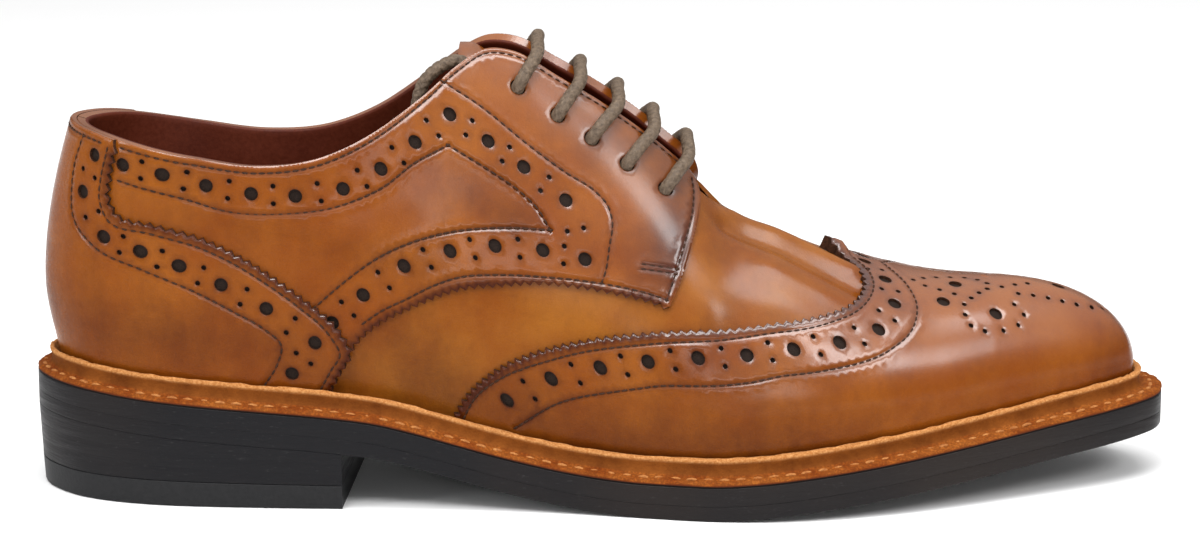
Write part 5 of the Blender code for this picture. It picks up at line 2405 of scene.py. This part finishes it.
@dataclass
class Studio:
    """The camera at the photo's angle, a pale floor and soft lights."""

    place: tuple[float, float, float] = (146.7, -1000.0, 275.6)
    yaw: float = 0.28
    pitch: float = 12.48
    focal_px: float = 3806.0
    width_px: float = 1200.0
    sensor: float = 36.0

    def camera(self) -> Object:
        """Makes the camera.

        Returns:
            The camera.
        """
        data = bpy.data.cameras.new("camera")
        data.sensor_width = self.sensor
        data.lens = self.focal_px / self.width_px * self.sensor
        data.clip_start = 0.01
        item = bpy.data.objects.new("camera", data)
        bpy.context.scene.collection.objects.link(item)
        yaw, pitch = math.radians(self.yaw), math.radians(self.pitch)
        ahead = Vector((math.sin(yaw) * math.cos(pitch), math.cos(yaw) * math.cos(pitch), -math.sin(pitch)))
        right = Vector((math.cos(yaw), -math.sin(yaw), 0))
        turned = Matrix((right, right.cross(ahead), -ahead)).transposed().to_4x4()
        item.matrix_world = Matrix.Translation((np.array(self.place) - PLAN.origin) * MM) @ turned
        bpy.context.scene.camera = item
        return item

    def softbox(self, name: str, place: tuple, aim: tuple, size: tuple, power: float) -> None:
        """Adds an area light.

        Args:
            name: Its name.
            place: Where it stands, in metres.
            aim: What it points at.
            size: Its width and height.
            power: Its power in watts.
        """
        data = bpy.data.lights.new(name, "AREA")
        data.shape = "RECTANGLE"
        data.size, data.size_y = size
        data.energy = power
        item = bpy.data.objects.new(name, data)
        bpy.context.scene.collection.objects.link(item)
        item.location = place
        item.rotation_euler = (Vector(aim) - Vector(place)).to_track_quat("-Z", "Y").to_euler()

    def build(self) -> Object:
        """Sets the camera, floor, lights and white surround.

        Returns:
            The floor.
        """
        self.camera()
        bpy.ops.mesh.primitive_plane_add(size=8.0, location=(0, 0, 0))
        floor = bpy.context.object
        floor.name = "floor"
        nodes = Nodes("floor_pale")
        nodes.set(Base_Color=(0.93, 0.93, 0.93, 1), Roughness=0.9, Specular_IOR_Level=0.1)
        floor.data.materials.append(nodes.material)
        world = bpy.data.worlds.new("surround")
        bpy.context.scene.world = world
        world.use_nodes = True
        tree = world.node_tree
        shade = tree.nodes["Background"]
        split = tree.nodes.new("ShaderNodeSeparateXYZ")
        tree.links.new(tree.nodes.new("ShaderNodeTexCoord").outputs["Generated"], split.inputs[0])
        rise = tree.nodes.new("ShaderNodeMapRange")
        tree.links.new(split.outputs["Z"], rise.inputs["Value"])
        for key, value in (("From Min", 0.05), ("From Max", 0.8), ("To Min", 0.08), ("To Max", 0.85)):
            rise.inputs[key].default_value = value
        shade.inputs["Color"].default_value = (1, 1, 1, 1)
        tree.links.new(rise.outputs["Result"], shade.inputs["Strength"])
        for softbox in SOFTBOXES:
            self.softbox(*softbox)
        bpy.context.scene.view_settings.view_transform = "Standard"
        return floor


def main() -> None:
    """Builds the pieces in order and hangs them on the frame."""
    logging.basicConfig(level=logging.INFO, format="%(name)s: %(message)s")
    last = Last(PLAN)
    uppers = Uppers(last)
    made: list[Object] = []

    def keep(item: Object, slot: str, *nodes: str) -> Object:
        """Rides and logs one piece, and hides the CAD nodes that it stands for.

        Args:
            item: The piece.
            slot: The record's material slot. Not used.
            nodes: CAD nodes that it stands for.

        Returns:
            The piece.
        """
        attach(item, "root")
        if nodes:
            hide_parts(*nodes)
        made.append(item)
        LOG.info("%s: %d faces", item.name, len(item.data.polygons))
        return item

    Studio().build()
    for node, item in Bottom(PLAN).build().items():
        keep(item, "lift_rubber" if node == "heel_top_lift" else "sole_black", node)
    welt = Welt(PLAN)
    keep(welt.build(), "welt_leather", "storm_welt")
    keep(welt.stitches(), "welt_leather")
    keep(uppers.vamp().build(uppers.soft), "tan_leather", "upper")
    keep(uppers.lining(), "lining_leather")
    keep(uppers.toe_lining(), "lining_leather")
    for side in Side:
        keep(uppers.quarter(side).build(uppers.tan), "tan_leather", f"quarter_{side.name.lower()}")
    keep(uppers.wing().build(uppers.tan), "burnished_leather", "wing_cap")
    keep(uppers.counter().build(uppers.tan), "burnished_leather", "heel_counter")
    keep(uppers.thread.build(), "burnished_leather")
    keep(Tongue(last).build(uppers.tan), "burnished_leather", "tongue")
    lacing = Lacing(last)
    for number, eyelet in enumerate(EYELETS, 1):
        keep(lacing.bar(number, *eyelet), "waxed_cotton", f"lace_bar_{number}")
    loose, path = lacing.loose_end()
    keep(loose, "waxed_cotton", "lace_end")
    length = float(np.linalg.norm(np.diff(path, axis=0), axis=1).sum())
    tuple(path[0])
    [tuple(p) for p in path]
    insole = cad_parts["insole"]
    insole.data.materials.clear()
    insole.data.materials.append(SOCK_LEATHER.material())


if __name__ == "__main__":
    main()
